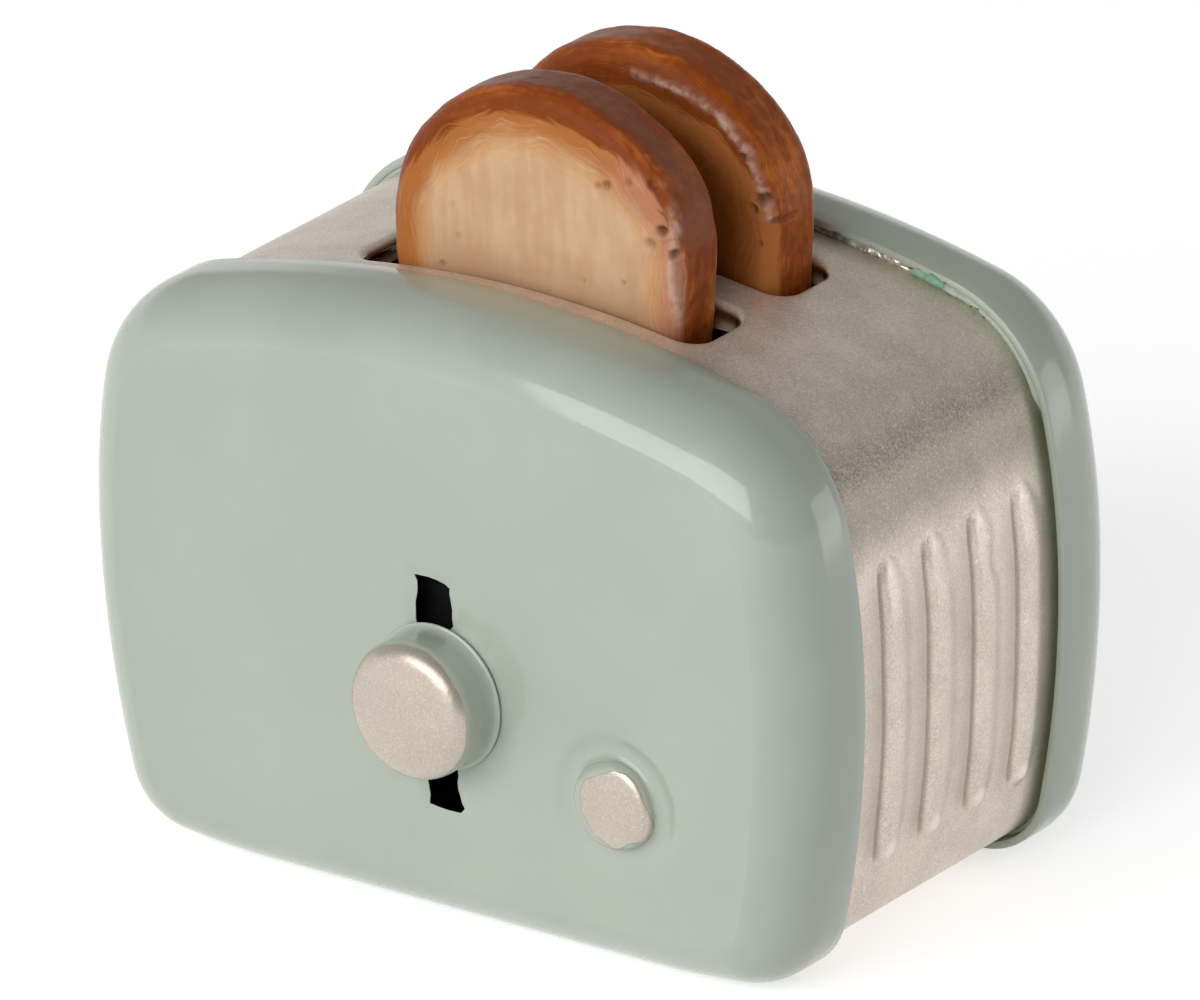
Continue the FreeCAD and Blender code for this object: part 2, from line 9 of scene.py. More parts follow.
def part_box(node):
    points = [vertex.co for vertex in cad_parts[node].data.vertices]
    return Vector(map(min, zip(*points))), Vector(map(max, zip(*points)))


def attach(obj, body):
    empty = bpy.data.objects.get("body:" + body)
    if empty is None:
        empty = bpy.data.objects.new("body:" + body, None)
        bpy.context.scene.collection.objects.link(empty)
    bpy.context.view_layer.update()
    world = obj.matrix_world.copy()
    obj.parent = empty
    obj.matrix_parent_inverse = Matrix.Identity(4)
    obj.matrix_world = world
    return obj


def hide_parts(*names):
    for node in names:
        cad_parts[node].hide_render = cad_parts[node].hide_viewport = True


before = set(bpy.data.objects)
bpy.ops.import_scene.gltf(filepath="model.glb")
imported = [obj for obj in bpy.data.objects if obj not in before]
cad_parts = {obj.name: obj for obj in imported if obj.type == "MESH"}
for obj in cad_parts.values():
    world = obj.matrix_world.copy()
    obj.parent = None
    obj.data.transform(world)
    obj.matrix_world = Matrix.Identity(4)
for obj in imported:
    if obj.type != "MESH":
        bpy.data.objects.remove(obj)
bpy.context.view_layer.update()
bpy.ops.object.select_all(action="DESELECT")
mm = 0.001


# ---------- base plate
# Stiffening plate of bright tinplate inside the wrap's underside. It is blanked with round
# corners, pressed up in the middle, and held to the wrap by four rivets.
plate_corner_radius = 1.6 * mm
plate_edge_break = 0.12 * mm
plate_panel_margin = 3.4 * mm
plate_panel_slope = 0.6 * mm
plate_panel_rise = 0.3 * mm
tin_colour = (0.50, 0.49, 0.46, 1)
tin_dull_colour = (0.34, 0.33, 0.31, 1)
roll_line_scale = 900.0


def feed(node, inputs):
    """Gives a node's sockets their values, or the sockets that feed them."""
    for socket, value in inputs.items():
        if isinstance(value, bpy.types.NodeSocket):
            node.id_data.links.new(value, node.inputs[socket])
        else:
            node.inputs[socket].default_value = value


def put(home, kind, inputs=(), **settings):
    """Adds a shader node to a tree, given as itself or as a socket in it."""
    made = home.id_data.nodes.new("ShaderNode" + kind)
    for name, value in settings.items():
        setattr(made, name, value)
    feed(made, dict(inputs))
    return made


def socket_among(*values):
    return next(value for value in values if isinstance(value, bpy.types.NodeSocket))


def calc(operation, first, *others):
    """Arithmetic on sockets and numbers, each in turn with the result so far."""
    for other in others or (0.0,):
        first = put(socket_among(first, other), "Math", {0: first, 1: other},
                    operation=operation).outputs[0]
    return first


def times(*values):
    return calc("MULTIPLY", *values)


def faded(value, start, end, low=0.0, high=1.0):
    """Soft step: low where the value is at start, high where it is at end."""
    sockets = {"Value": value, "From Min": start, "From Max": end, "To Min": low, "To Max": high}
    return put(value, "MapRange", sockets, interpolation_type="SMOOTHSTEP").outputs[0]


def blended(factor, below, above):
    """Colour that goes from below to above with the factor."""
    sockets = {0: factor, 6: below, 7: above}
    return put(socket_among(factor, below), "Mix", sockets, data_type="RGBA").outputs[2]


def mottled(vector, scale, detail, stretch=None):
    """Noise from 0 to 1, drawn out along the axes whose stretch is small."""
    if stretch:
        vector = put(vector, "Mapping", {"Vector": vector, "Scale": stretch}).outputs[0]
    return put(vector, "TexNoise", {"Vector": vector, "Scale": scale, "Detail": detail}).outputs[0]


def bumped(height, strength, distance, **more):
    sockets = {"Height": height, "Strength": strength, "Distance": distance, **more}
    return put(height, "Bump", sockets).outputs[0]


def effect(name, inputs, outputs):
    """Empty node group, with sockets of these kinds, for an effect that several finishes share."""
    tree = bpy.data.node_groups.new(name, "ShaderNodeTree")
    for way, sockets in (("INPUT", inputs), ("OUTPUT", outputs)):
        for socket, kind in sockets.items():
            tree.interface.new_socket(socket, in_out=way, socket_type="NodeSocket" + kind)
    return tree, tree.nodes.new("NodeGroupInput").outputs, tree.nodes.new("NodeGroupOutput")


def finish_named(name):
    """New material, its Principled shader and the piece's own coordinates."""
    material = bpy.data.materials.new(name)
    material.use_nodes = True
    place = put(material.node_tree, "TexCoord").outputs["Object"]
    return material, material.node_tree.nodes["Principled BSDF"], place


def rolled_sheet_effect():
    """Fine rolling lines and cloudy dull patches of bare sheet metal."""
    tree, given, result = effect("rolled sheet", {"Vector": "Vector"},
                                 {"Dullness": "Float", "Height": "Float"})
    lines = mottled(given["Vector"], roll_line_scale, 3.0, (0.06, 1, 1))
    clouds = mottled(given["Vector"], 160.0, 4.0)
    feed(result, {"Dullness": faded(times(lines, clouds), 0.15, 0.42), "Height": lines})
    return tree


rolled_sheet = rolled_sheet_effect()


def sheet_metal(name, bright, dull, roughness, dull_roughness, lacquer_specular=None):
    """Bare sheet, or with a specular given, sheet under a lacquer or a plastic skin."""
    material, shader, place = finish_named(name)
    sheet = put(place, "Group", {"Vector": place}, node_tree=rolled_sheet).outputs
    dullness = sheet["Dullness"]
    feed(shader, {"Base Color": blended(dullness, bright, dull), "Metallic": 1.0,
                  "Roughness": faded(dullness, 0.0, 1.0, roughness, dull_roughness),
                  "Normal": bumped(sheet["Height"], 0.25, 0.02 * mm)})
    if lacquer_specular:
        feed(shader, {"Metallic": 0.0, "Specular IOR Level": lacquer_specular})
    return material


tinplate = sheet_metal("tinplate", tin_colour, tin_dull_colour, 0.28, 0.5)


def make_active(piece):
    bpy.ops.object.select_all(action="DESELECT")
    piece.select_set(True)
    bpy.context.view_layer.objects.active = piece


def enter():
    bpy.ops.object.mode_set(mode="EDIT")


def leave():
    bpy.ops.object.mode_set(mode="OBJECT")


def edit(piece, kind="FACE", test=None):
    """Enters edit mode with everything selected, or what has its middle where the test says."""
    make_active(piece)
    enter()
    bpy.ops.mesh.select_mode(type=kind)
    bpy.ops.mesh.select_all(action="SELECT" if test is None else "DESELECT")
    if test is None:
        return
    leave()
    mesh = piece.data
    for item in mesh.edges if kind == "EDGE" else mesh.polygons:
        corners = [mesh.vertices[number].co for number in item.vertices]
        item.select = test(sum(corners, Vector()) / len(corners))
    enter()


def shape_with(piece, kind, **settings):
    """Adds a modifier with these settings and applies it."""
    make_active(piece)
    modifier = piece.modifiers.new(kind.title(), kind)
    for name, value in settings.items():
        setattr(modifier, name, value)
    bpy.ops.object.modifier_apply(modifier=modifier.name)


def fit_out(piece, body, material, slot, *replaced, smooth_angle=35):
    """Smooths, finishes and hangs a piece on its body, in place of the solids it stands for."""
    make_active(piece)
    bpy.ops.object.shade_smooth_by_angle(angle=math.radians(smooth_angle))
    piece.data.materials.clear()
    piece.data.materials.append(material)
    piece.data.name = piece.name
    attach(piece, body)
    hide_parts(*replaced)


plate_low, plate_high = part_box("base_plate")
bpy.ops.mesh.primitive_cube_add(size=1, location=(plate_low + plate_high) / 2)
base_plate = bpy.context.object
base_plate.name = "base_plate_pressed"
base_plate.scale = plate_high - plate_low
bpy.ops.object.transform_apply(location=True, rotation=True, scale=True)
edit(base_plate, "FACE", lambda middle: middle.z < plate_low.z + mm / 100)
bpy.ops.mesh.inset(thickness=plate_panel_margin)
bpy.ops.mesh.inset(thickness=plate_panel_slope)
bpy.ops.transform.translate(value=(0, 0, plate_panel_rise))
leave()


def on_plate_corner(middle, inset, reach):
    """True near the four corners of a rectangle that far inside the plate's edge."""
    away_x = min(abs(middle.x - plate_low.x - inset), abs(middle.x - plate_high.x + inset))
    away_y = min(abs(middle.y - plate_low.y - inset), abs(middle.y - plate_high.y + inset))
    return max(away_x, away_y) < reach


for inset, reach, segments in ((0, mm / 100, 6),
                               (plate_panel_margin + plate_panel_slope / 2, mm / 10, 5)):
    edit(base_plate, "EDGE", lambda middle: on_plate_corner(middle, inset, reach))
    bpy.ops.mesh.bevel(offset=plate_corner_radius, segments=segments)
    leave()
shape_with(base_plate, "BEVEL", width=plate_edge_break, segments=2, limit_method="ANGLE")
fit_out(base_plate, "housing", tinplate, "bare_steel", "base_plate")


def finish_solids(material, *nodes):
    """Gives a finish to solids that are shown as they were cut and turned."""
    for node in nodes:
        for material_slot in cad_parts[node].material_slots:
            material_slot.material = material


finish_solids(tinplate, "base_rivets")


# ---------- guide posts
# Two posts of drawn steel rod, ground bright and riveted into the base plate. The lift tray
# slides up and down them on brass bushes, which are turned and pressed into the tray.
rod_bright = (0.56, 0.55, 0.53, 1)
rod_dull = (0.36, 0.35, 0.33, 1)
rod_line_scale = 5200.0
brass_bright = (0.66, 0.45, 0.17, 1)
brass_tarnish = (0.36, 0.22, 0.075, 1)


def plus(*values):
    return calc("ADD", *values)


def turned_metal(name, bright, dull, roughness, dull_roughness):
    """Metal turned about an upright axis: fine rings and a cloudy tarnish."""
    material, shader, place = finish_named(name)
    rings = mottled(place, rod_line_scale, 2.0, (0.02, 0.02, 1))
    dulled = faded(plus(times(rings, 0.35), mottled(place, 600.0, 4.0)), 0.35, 0.8)
    feed(shader, {"Base Color": blended(dulled, bright, dull), "Metallic": 1.0,
                  "Roughness": faded(dulled, 0.0, 1.0, roughness, dull_roughness),
                  "Normal": bumped(rings, 0.3, 0.01 * mm)})
    return material


finish_solids(turned_metal("ground_rod", rod_bright, rod_dull, 0.2, 0.42),
              "guide_post_left", "guide_post_right")
finish_solids(turned_metal("turned_brass", brass_bright, brass_tarnish, 0.24, 0.45),
              "tray_bush_left", "tray_bush_right")


# ---------- lift tray and cradles
# Flat tray that carries the toast, with an open tinplate cradle riveted on for the foot of
# each slice. All are cut from the same sheet and have cloudy dull patches.
cradle_bright = (0.44, 0.43, 0.40, 1)
cradle_dull = (0.20, 0.17, 0.14, 1)
finish_solids(sheet_metal("tray_sheet", tin_colour, cradle_dull, 0.32, 0.6), "lift_tray")
finish_solids(sheet_metal("cradle_sheet", cradle_bright, cradle_dull, 0.35, 0.62),
              "toast_cradle_front", "toast_cradle_rear")
finish_solids(tinplate, "cradle_rivets")


# ---------- lever bracket
# Angle of steel strip that joins the lever's stem to the tray, held to the tray by two bright
# rivets. It is matt and near-black as painted shade, for the dark inside of the lever slot.
slot_shade_black = (0.004, 0.004, 0.004, 1)
slot_shade_black_dull = (0.008, 0.008, 0.008, 1)
slot_shade_black_finish = sheet_metal("slot_shade_black_finish", slot_shade_black, slot_shade_black_dull, 0.55, 0.75, 0.1)
finish_solids(slot_shade_black_finish, "lever_bracket")
finish_solids(tinplate, "bracket_rivets")


# ---------- body wrap
# Silver-painted sheet folded round to make the crown, sides and underside. Four ribs are
# pressed out on each side, and the lips of two toast slots are turned down into the body.
cover_low, cover_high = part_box("rear_cover")
wrap_low, wrap_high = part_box("body_wrap")
half_width = cover_high.x
height = cover_high.z
belly_height = 22.6 * mm
side_radius_upper = 55 * mm
side_radius_lower = 78 * mm
crown_radius = 87 * mm
top_corner_radius = 9.8 * mm
bottom_corner_radius = 5.8 * mm
foot_half_width = 16 * mm
bottom_rise_radius = 60 * mm

wrap_setback = height - wrap_high.z
wrap_sheet = 0.5 * mm
wrap_step = 0.3 * mm
wrap_wide_step = 0.9 * mm
rib_pitch = 5.0 * mm
rib_width = 1.9 * mm
rib_flank = 0.75 * mm
rib_far_flank = 2.2 * mm
rib_foot = (rib_width + rib_flank) / 2
rib_height = 0.55 * mm
rib_low = 7.2 * mm
rib_high = 29.3 * mm
rib_end = 2.4 * mm
rib_end_ease = 0.46
rib_top_run = 5 * mm
rib_top_loss = 0.5
rib_wander = 0.22 * mm
rib_end_knuckle = 0.2 * mm
rib_dent = 0.34 * mm
rib_dent_place = (6.7 * mm, 25.2 * mm)
wrap_middle_y = (wrap_low.y + wrap_high.y) / 2
first_rib_y = wrap_middle_y + 0.8 * mm - 1.5 * rib_pitch

slot_centre_x = 0.55 * mm
slot_half_length = 13.95 * mm
slot_half_width = 2.95 * mm
slot_corner_radius = 1.6 * mm
slot_pitch = 9.7 * mm
slot_margin = 0.35 * mm
lip_radius = 0.7 * mm
lip_bottom = 39.91 * mm
lip_bends = 6
bare_lip_depth = 0.75 * mm
window_half_length = 12.4 * mm
window_half_depth = 7.5 * mm


def outline_arcs():
    """Arcs of the covers' outline, clockwise from the top middle to the flat of the underside."""
    crown = Vector((0, height - crown_radius)), crown_radius
    upper = Vector((half_width - side_radius_upper, belly_height)), side_radius_upper
    lower = Vector((half_width - side_radius_lower, belly_height)), side_radius_lower
    rise = Vector((foot_half_width, bottom_rise_radius)), bottom_rise_radius

    def corner(first, second, radius):
        """Centre of the corner arc that runs tangent inside two larger arcs."""
        reach_a = first[1] - radius
        reach_b = second[1] - radius
        apart = second[0] - first[0]
        forth = (reach_a ** 2 - reach_b ** 2 + apart.length_squared) / (2 * apart.length)
        aside = math.sqrt(reach_a ** 2 - forth ** 2)
        unit = apart.normalized()
        sideways = Vector((-unit.y, unit.x)) * aside
        return max((first[0] + unit * forth + sideways, first[0] + unit * forth - sideways),
                   key=lambda point: point.x)

    top = corner(upper, crown, top_corner_radius)
    bottom = corner(lower, rise, bottom_corner_radius)
    crown_end, upper_end, lower_end, rise_end = [
        math.atan2(centre.y - arc[0].y, centre.x - arc[0].x)
        for arc, centre in ((crown, top), (upper, top), (lower, bottom), (rise, bottom))]
    return [(*crown, math.pi / 2, crown_end), (top, top_corner_radius, crown_end, upper_end),
            (*upper, upper_end, 0.0), (*lower, 0.0, lower_end),
            (bottom, bottom_corner_radius, lower_end, rise_end), (*rise, rise_end, -math.pi / 2)]


outline = outline_arcs()
arc_ends = [0.0]
for centre, radius, start, end in outline:
    arc_ends.append(arc_ends[-1] + radius * (start - end))
half_round = arc_ends[-1] + foot_half_width


def outline_point(along, setback):
    """X and Z of the outline, that far inside it; along runs clockwise from the top middle."""
    side = 1 if along >= 0 else -1
    rest = abs(along)
    for centre, radius, start, end in outline:
        length = radius * (start - end)
        if rest <= length:
            angle = start - rest / radius
            reach = radius - setback
            return side * (centre.x + reach * math.cos(angle)), centre.y + reach * math.sin(angle)
        rest -= length
    return side * (foot_half_width - rest), setback


def crown_along(x, setback):
    return crown_radius * math.asin(x / (crown_radius - setback))


def side_along(z, setback):
    """Distance along the outline at which the side is at height z."""
    radius = side_radius_upper if z > belly_height else side_radius_lower
    return arc_ends[3] - radius * math.asin((z - belly_height) / (radius - setback))


def stations(marks, step):
    """Evenly spaced places, at most a step apart, that take in every mark."""
    marks = sorted(marks)
    places = [marks[0]]
    for near, far in zip(marks, marks[1:]):
        count = max(1, math.ceil((far - near) / step - 1e-6))
        places += [near + (far - near) * (turn + 1) / count for turn in range(count)]
    return places


def clamped(value):
    return min(max(value, 0.0), 1.0)


def soft_step(value):
    value = clamped(value)
    return value * value * (3 - 2 * value)


def hill(value):
    """Bell curve: 1 at 0 and nearly 0 from 2 on."""
    return math.exp(-value * value)


def wave(x, y, z, size, seed=0.0):
    """Smooth unevenness from -1 to 1, with bumps of about that size."""
    return noise.noise(Vector((x / size + seed, y / size - seed, z / size + 2 * seed)))


def rib_across(spot):
    """Y with the hand-made wander of the ribs taken out: the ribs run straight in it."""
    return spot.y + rib_wander * wave(*spot, 8 * mm, 1.0)


def rib_rise(spot):
    """How far the pressed ribs stand out at this place."""
    x, y, z = spot
    across = rib_across(spot)
    number = min(max(round((across - first_rib_y) / rib_pitch), 0), 3)
    aside = across - first_rib_y - number * rib_pitch
    nearest = min(max(z, rib_low + rib_end), rib_high - rib_end)
    reach = math.hypot(aside, (z - nearest) * rib_end_ease)
    full = rib_height * (0.95 + 0.2 * wave(x, y, z, 4 * mm, number * 3.7))
    full += rib_end_knuckle * hill((z - rib_low - rib_width / 2) / (0.6 * mm))
    full *= 1 - rib_top_loss * soft_step((z - rib_high + rib_top_run) / rib_top_run)
    flank = rib_far_flank if aside > 0 else rib_flank
    lean = clamped((z - rib_low) / (3 * mm)) * clamped((rib_high - z) / (3 * mm))
    flank = rib_flank + (flank - rib_flank) * lean
    rise = full * soft_step((rib_foot + 0.75 * (flank - rib_flank) - reach) / flank)
    if x > 0 and rise > 0:
        away = math.hypot(y - rib_dent_place[0], z - rib_dent_place[1]) / (0.75 * mm)
        rise -= rib_dent * hill(away)
    return max(rise, 0.0)


def wrap_point(along, y):
    x, z = outline_point(along, wrap_setback)
    outer_x, outer_z = outline_point(along, wrap_setback - mm)
    outward = Vector((outer_x - x, 0, outer_z - z)) / mm
    spot = Vector((x, y, z))
    stand = rib_rise(spot) if rib_low - mm < z < rib_high + mm else 0.0
    return spot + outward * (stand + 0.035 * mm * wave(x, y, z, 7 * mm, 4.0))


slot_ys = (wrap_middle_y - slot_pitch / 2, wrap_middle_y + slot_pitch / 2)
zone_half_length = slot_half_length + lip_radius + slot_margin
zone_half_width = slot_half_width + lip_radius + slot_margin
rib_ends = [side_along(z, wrap_setback) for z in (rib_low - 0.5 * mm, rib_low + 2.2 * mm,
                                                  rib_high - 2.6 * mm, rib_high + 0.5 * mm)]
side_marks = rib_ends + arc_ends[1:6] + [half_round - window_half_length, half_round]
zone_ends = [crown_along(slot_centre_x + side * zone_half_length, wrap_setback) for side in (-1, 1)]
alongs = stations([side * mark for side in (-1, 1) for mark in side_marks] + zone_ends,
                  wrap_wide_step)
for side, end in zip((-1, 1), zone_ends):
    for pair in (rib_ends[:2], rib_ends[2:]):
        alongs += stations([side * mark for mark in pair], wrap_step)
    alongs += stations([end, end - side * 3 * mm], 0.5 * mm)
alongs = sorted(set(round(along, 6) for along in alongs))
depth_marks = [wrap_low.y, wrap_high.y, wrap_middle_y - window_half_depth,
               wrap_middle_y + window_half_depth]
depth_marks += [y + side * zone_half_width for y in slot_ys for side in (-1, 1)]


def laid_grid(name, columns, rows, place):
    """Grid of quads, each corner put where place(column, row) says."""
    bpy.ops.mesh.primitive_grid_add(x_subdivisions=len(columns) - 1, y_subdivisions=len(rows) - 1)
    piece = bpy.context.object
    piece.name = name
    for number, vertex in enumerate(piece.data.vertices):
        vertex.co = place(columns[number % len(columns)], rows[number // len(columns)])
    return piece


def mark_points(piece, name, value_at):
    """Keeps a number at each corner of a mesh, which its finish reads."""
    marks = piece.data.attributes.new(name, "FLOAT", "POINT")
    for mark, vertex in zip(marks.data, piece.data.vertices):
        mark.value = value_at(vertex.co)


wrap = laid_grid("wrap_painted", alongs, stations(depth_marks, wrap_step), wrap_point)
mark_points(wrap, "across", rib_across)
edit(wrap)
bpy.ops.mesh.remove_doubles(threshold=0.01 * mm)
leave()


def in_window(middle):
    return (middle.z < 2 * wrap_setback and abs(middle.x) < window_half_length
            and abs(middle.y - wrap_middle_y) < window_half_depth)


def in_slot_zone(middle, spare=0.0, ys=slot_ys):
    return (middle.z > lip_bottom and abs(middle.x - slot_centre_x) < zone_half_length + spare
            and any(abs(middle.y - y) < zone_half_width + spare for y in ys))


def crown_height(x):
    reach = crown_radius - wrap_setback
    return height - crown_radius + math.sqrt(reach ** 2 - x ** 2)


def lip_point(place, slot_y, outward, drop):
    """Nearest point of a slot's rounded outline, that far outside it and below the crown."""
    x = place.x - slot_centre_x
    y = place.y - slot_y
    room_x = slot_half_length - slot_corner_radius
    room_y = slot_half_width - slot_corner_radius
    core = Vector((min(max(x, -room_x), room_x), min(max(y, -room_y), room_y)))
    spot = core + (Vector((x, y)) - core).normalized() * (slot_corner_radius + outward)
    z = lip_bottom if drop is None else crown_height(slot_centre_x + spot.x) - drop
    return Vector((slot_centre_x + spot.x, slot_y + spot.y, z))


def select_none(piece, kind):
    edit(piece, kind, lambda middle: False)
    leave()


def face_outward(piece, merge=None):
    """Turns all faces outward, after a merge of corners that are closer than told."""
    edit(piece)
    if merge:
        bpy.ops.mesh.remove_doubles(threshold=merge)
        bpy.ops.mesh.select_all(action="SELECT")
    bpy.ops.mesh.normals_make_consistent(inside=False)
    leave()


edit(wrap, "FACE", lambda middle: in_window(middle) or in_slot_zone(middle))
bpy.ops.mesh.delete(type="FACE")
leave()
bends = []
for bend in range(lip_bends + 1):
    turn = math.pi / 2 * bend / lip_bends
    bends.append((lip_radius * (1 - math.sin(turn)), lip_radius * (1 - math.cos(turn))))
for slot_y in slot_ys:
    select_none(wrap, "EDGE")
    uses = {}
    for face in wrap.data.polygons:
        for key in face.edge_keys:
            uses[key] = uses.get(key, 0) + 1
    for edge in wrap.data.edges:
        if uses.get(edge.key, 0) == 1:
            ends = [wrap.data.vertices[number].co for number in edge.vertices]
            edge.select = in_slot_zone((ends[0] + ends[1]) / 2, 0.1 * mm, [slot_y])
    for outward, drop in bends + [(0.0, None)]:
        enter()
        bpy.ops.mesh.extrude_edges_move()
        leave()
        for vertex in wrap.data.vertices:
            if vertex.select:
                vertex.co = lip_point(vertex.co, slot_y, outward, drop)


def bareness(spot):
    """How far down a slot's lip a place is, where wear has taken off the paint."""
    if not in_slot_zone(spot, 0.1 * mm):
        return 0.0
    return soft_step((crown_height(spot.x) - spot.z) / bare_lip_depth)


mark_points(wrap, "bare", bareness)
shape_with(wrap, "SOLIDIFY", thickness=wrap_sheet, offset=-1, use_even_offset=True)
face_outward(wrap)


flake_grain = 10000.0
flake_tilt = 0.14


def flake_effect():
    """Metallic flake: grains that each tilt and shade a little differently, some of them bright."""
    tree, given, result = effect("metallic flake", {"Vector": "Vector", "Normal": "Vector"},
                                 {"Shade": "Float", "Spark": "Float", "Normal": "Vector"})
    cells = put(tree, "TexVoronoi", {"Vector": given["Vector"], "Scale": flake_grain})
    colour = cells.outputs["Color"]
    normal = colour
    for kind, sockets in (("SUBTRACT", {1: (0.5, 0.5, 0.5)}), ("SCALE", {3: flake_tilt}),
                          ("ADD", {1: given["Normal"]}), ("NORMALIZE", {})):
        normal = put(tree, "VectorMath", {0: normal, **sockets}, operation=kind).outputs[0]
    shade = put(tree, "SeparateColor", {0: colour}).outputs
    feed(result, {"Shade": shade[0], "Spark": faded(shade[1], 0.86, 0.98), "Normal": normal})
    return tree


metallic_flake = flake_effect()
silver_dark = (0.56, 0.485, 0.40, 1)
silver_light = (0.95, 0.84, 0.72, 1)
silver_spark = (1.0, 0.93, 0.82, 1)
silver_metallic = 0.5
silver_roughness = 0.38
# Bare steel of the slot lips, tinted brown as painted reflection of the toast.
bare_lip_toast_reflection = (0.42, 0.33, 0.24, 1)
bare_lip_roughness = 0.12
lip_glint_colour = (0.95, 0.86, 0.72, 1)
# Colour of the painted shade line along each rib's front foot.
crease_shade_colour = (0.17, 0.125, 0.08, 1)
valley_colour = (0.46, 0.395, 0.325, 1)
# Darker silver for the painted shade along the shoulder between crown and sides.
shoulder_shade_dark = (0.21, 0.178, 0.138, 1)
shoulder_shade_light = (0.40, 0.35, 0.285, 1)
overspray_olive = (0.40, 0.42, 0.27, 1)
overspray_reach = 2.0 * mm


def silver_layer(place, dark, light, sparkle):
    """Silver paint: its colour and the normal that its flakes give."""
    normal = put(place, "NewGeometry").outputs["Normal"]
    flakes = put(place, "Group", {"Vector": place, "Normal": normal},
                 node_tree=metallic_flake).outputs
    clouds = mottled(place, 300.0, 4.0)
    shade = plus(times(flakes["Shade"], 0.5), faded(clouds, 0.3, 0.7, 0.15, 0.4))
    colour = blended(times(flakes["Spark"], sparkle), blended(shade, dark, light), silver_spark)
    return colour, flakes["Normal"]


def read_mark(home, name):
    return put(home, "Attribute", attribute_name=name).outputs["Fac"]


def apart(vector):
    """X, Y and Z of a vector."""
    return put(vector, "SeparateXYZ", {0: vector}).outputs


def minus(*values):
    return calc("SUBTRACT", *values)


def distance(first, second):
    return calc("SQRT", plus(times(first, first), times(second, second)))


def off(value, middle):
    return calc("ABSOLUTE", minus(value, middle))


def layered(colour, *layers):
    """Colour with others laid over it in turn, each where its mask says."""
    for mask, layer in layers:
        colour = blended(mask, colour, layer)
    return colour


def rib_shading(place):
    """Masks of the painted shade in the valleys, the painted shade line at each rib's foot and the
    painted highlights on the rib ends.
    """
    side, _, height = apart(place)
    start = minus(read_mark(place, "across"), first_rib_y - rib_foot - 4 * rib_pitch)
    local = times(calc("FRACT", calc("DIVIDE", start, rib_pitch)), rib_pitch)
    aside = minus(local, rib_foot)
    straight = (rib_high - rib_low) / 2 - rib_end
    beyond = calc("MAXIMUM", minus(off(height, (rib_low + rib_high) / 2), straight), 0.0)
    reach = distance(aside, times(beyond, rib_end_ease))
    foot = times(faded(off(reach, rib_foot - 0.12 * mm), 0.34 * mm, 0.02 * mm),
                 faded(aside, -0.5 * mm, -1.2 * mm), faded(beyond, 2.3 * mm, 1.5 * mm))
    valley_shade = times(faded(minus(rib_pitch - rib_foot, aside), 2.1 * mm, 0.0),
                   faded(beyond, 2.4 * mm, 0.2 * mm))
    off_slope = off(reach, rib_foot - rib_flank)
    upper_end = times(faded(off_slope, 0.7 * mm, 0.1 * mm, 0.0, 0.5),
                      faded(height, rib_high - 1.7 * mm, rib_high - 0.9 * mm))
    off_knuckle = distance(aside, minus(height, rib_low + 1.1 * mm))
    rib_highlight = calc("MAXIMUM", upper_end, faded(off_knuckle, 0.95 * mm, 0.2 * mm))
    beside = faded(calc("ABSOLUTE", side), 26 * mm, 27.5 * mm)
    return [times(mask, beside) for mask in (valley_shade, foot, rib_highlight)]


def wrap_finish():
    material, shader, place = finish_named("silver_wrap_paint")
    x, y, z = apart(place)
    # Painted shade: in a band along the shoulder the silver is darker and has fewer sparks.
    shoulder_shade = times(faded(z, 37.8 * mm, 34.8 * mm), faded(z, 27.0 * mm, 32.5 * mm))
    colour, normal = silver_layer(place, blended(shoulder_shade, silver_dark, shoulder_shade_dark),
                                  blended(shoulder_shade, silver_light, shoulder_shade_light),
                                  faded(shoulder_shade, 0.0, 1.0, 0.6, 0.2))
    brushed = mottled(place, 700.0, 3.0, (0.12, 1, 0.35))
    valley_shade, foot, rib_highlight = rib_shading(place)
    edge = plus(y, times(mottled(place, 420.0, 4.0), 0.9 * mm))
    spray = faded(edge, cover_low.y + 0.45 * mm - overspray_reach, cover_low.y + 0.7 * mm, 0.0, 0.6)
    bare_lip = read_mark(place, "bare")
    # Painted glint: towards each slot's +X end the bare lip turns pale.
    slot_end = slot_centre_x + slot_half_length
    lip_colour = blended(faded(x, slot_end - 0.9 * mm, slot_end - 0.3 * mm),
                         bare_lip_toast_reflection, lip_glint_colour)
    # The brush streaks darken towards valley_colour, which is also the painted shade in the rib
    # valleys; the rib ends get painted highlights.
    colour = layered(colour, (faded(brushed, 0.3, 0.7, 0.12, 0.0), valley_colour),
                     (times(valley_shade, 0.5), valley_colour), (times(foot, 0.62), crease_shade_colour),
                     (times(rib_highlight, 0.7), silver_spark), (spray, overspray_olive),
                     (bare_lip, lip_colour))
    feed(shader, {"Base Color": colour, "Normal": bumped(brushed, 0.4, 0.01 * mm, Normal=normal),
                  "Metallic": faded(bare_lip, 0.1, 0.9, silver_metallic, 1.0),
                  "Roughness": faded(bare_lip, 0.1, 0.9, silver_roughness, bare_lip_roughness)})
    return material


fit_out(wrap, "housing", wrap_finish(), "silver_paint", "body_wrap")


# ---------- end covers
# Two deep pans pressed from sheet, with a pillow edge and a straight flange that slips over
# the wrap, in thick mint enamel. The front one has the lever slot and the dial's dished seat.
front_low, front_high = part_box("front_cover")
edge_radius = 5.0 * mm
cover_sheet = 0.6 * mm
pillow_bends = 12
crease_angle = math.radians(15)
crease_setback = edge_radius * (1 - math.sin(crease_angle))
crease_line = 0.003
panel_columns = 104
panel_rows = 72
flange_rings = [(0.0, 6.2 * mm), (0.0, 7.4 * mm)]
mouth_edge_break = 0.2 * mm
inner_crease_reach = 0.35 * mm
washer_zone = (19 * mm, 5.5 * mm, 34 * mm)
panel_unevenness = 0.03 * mm

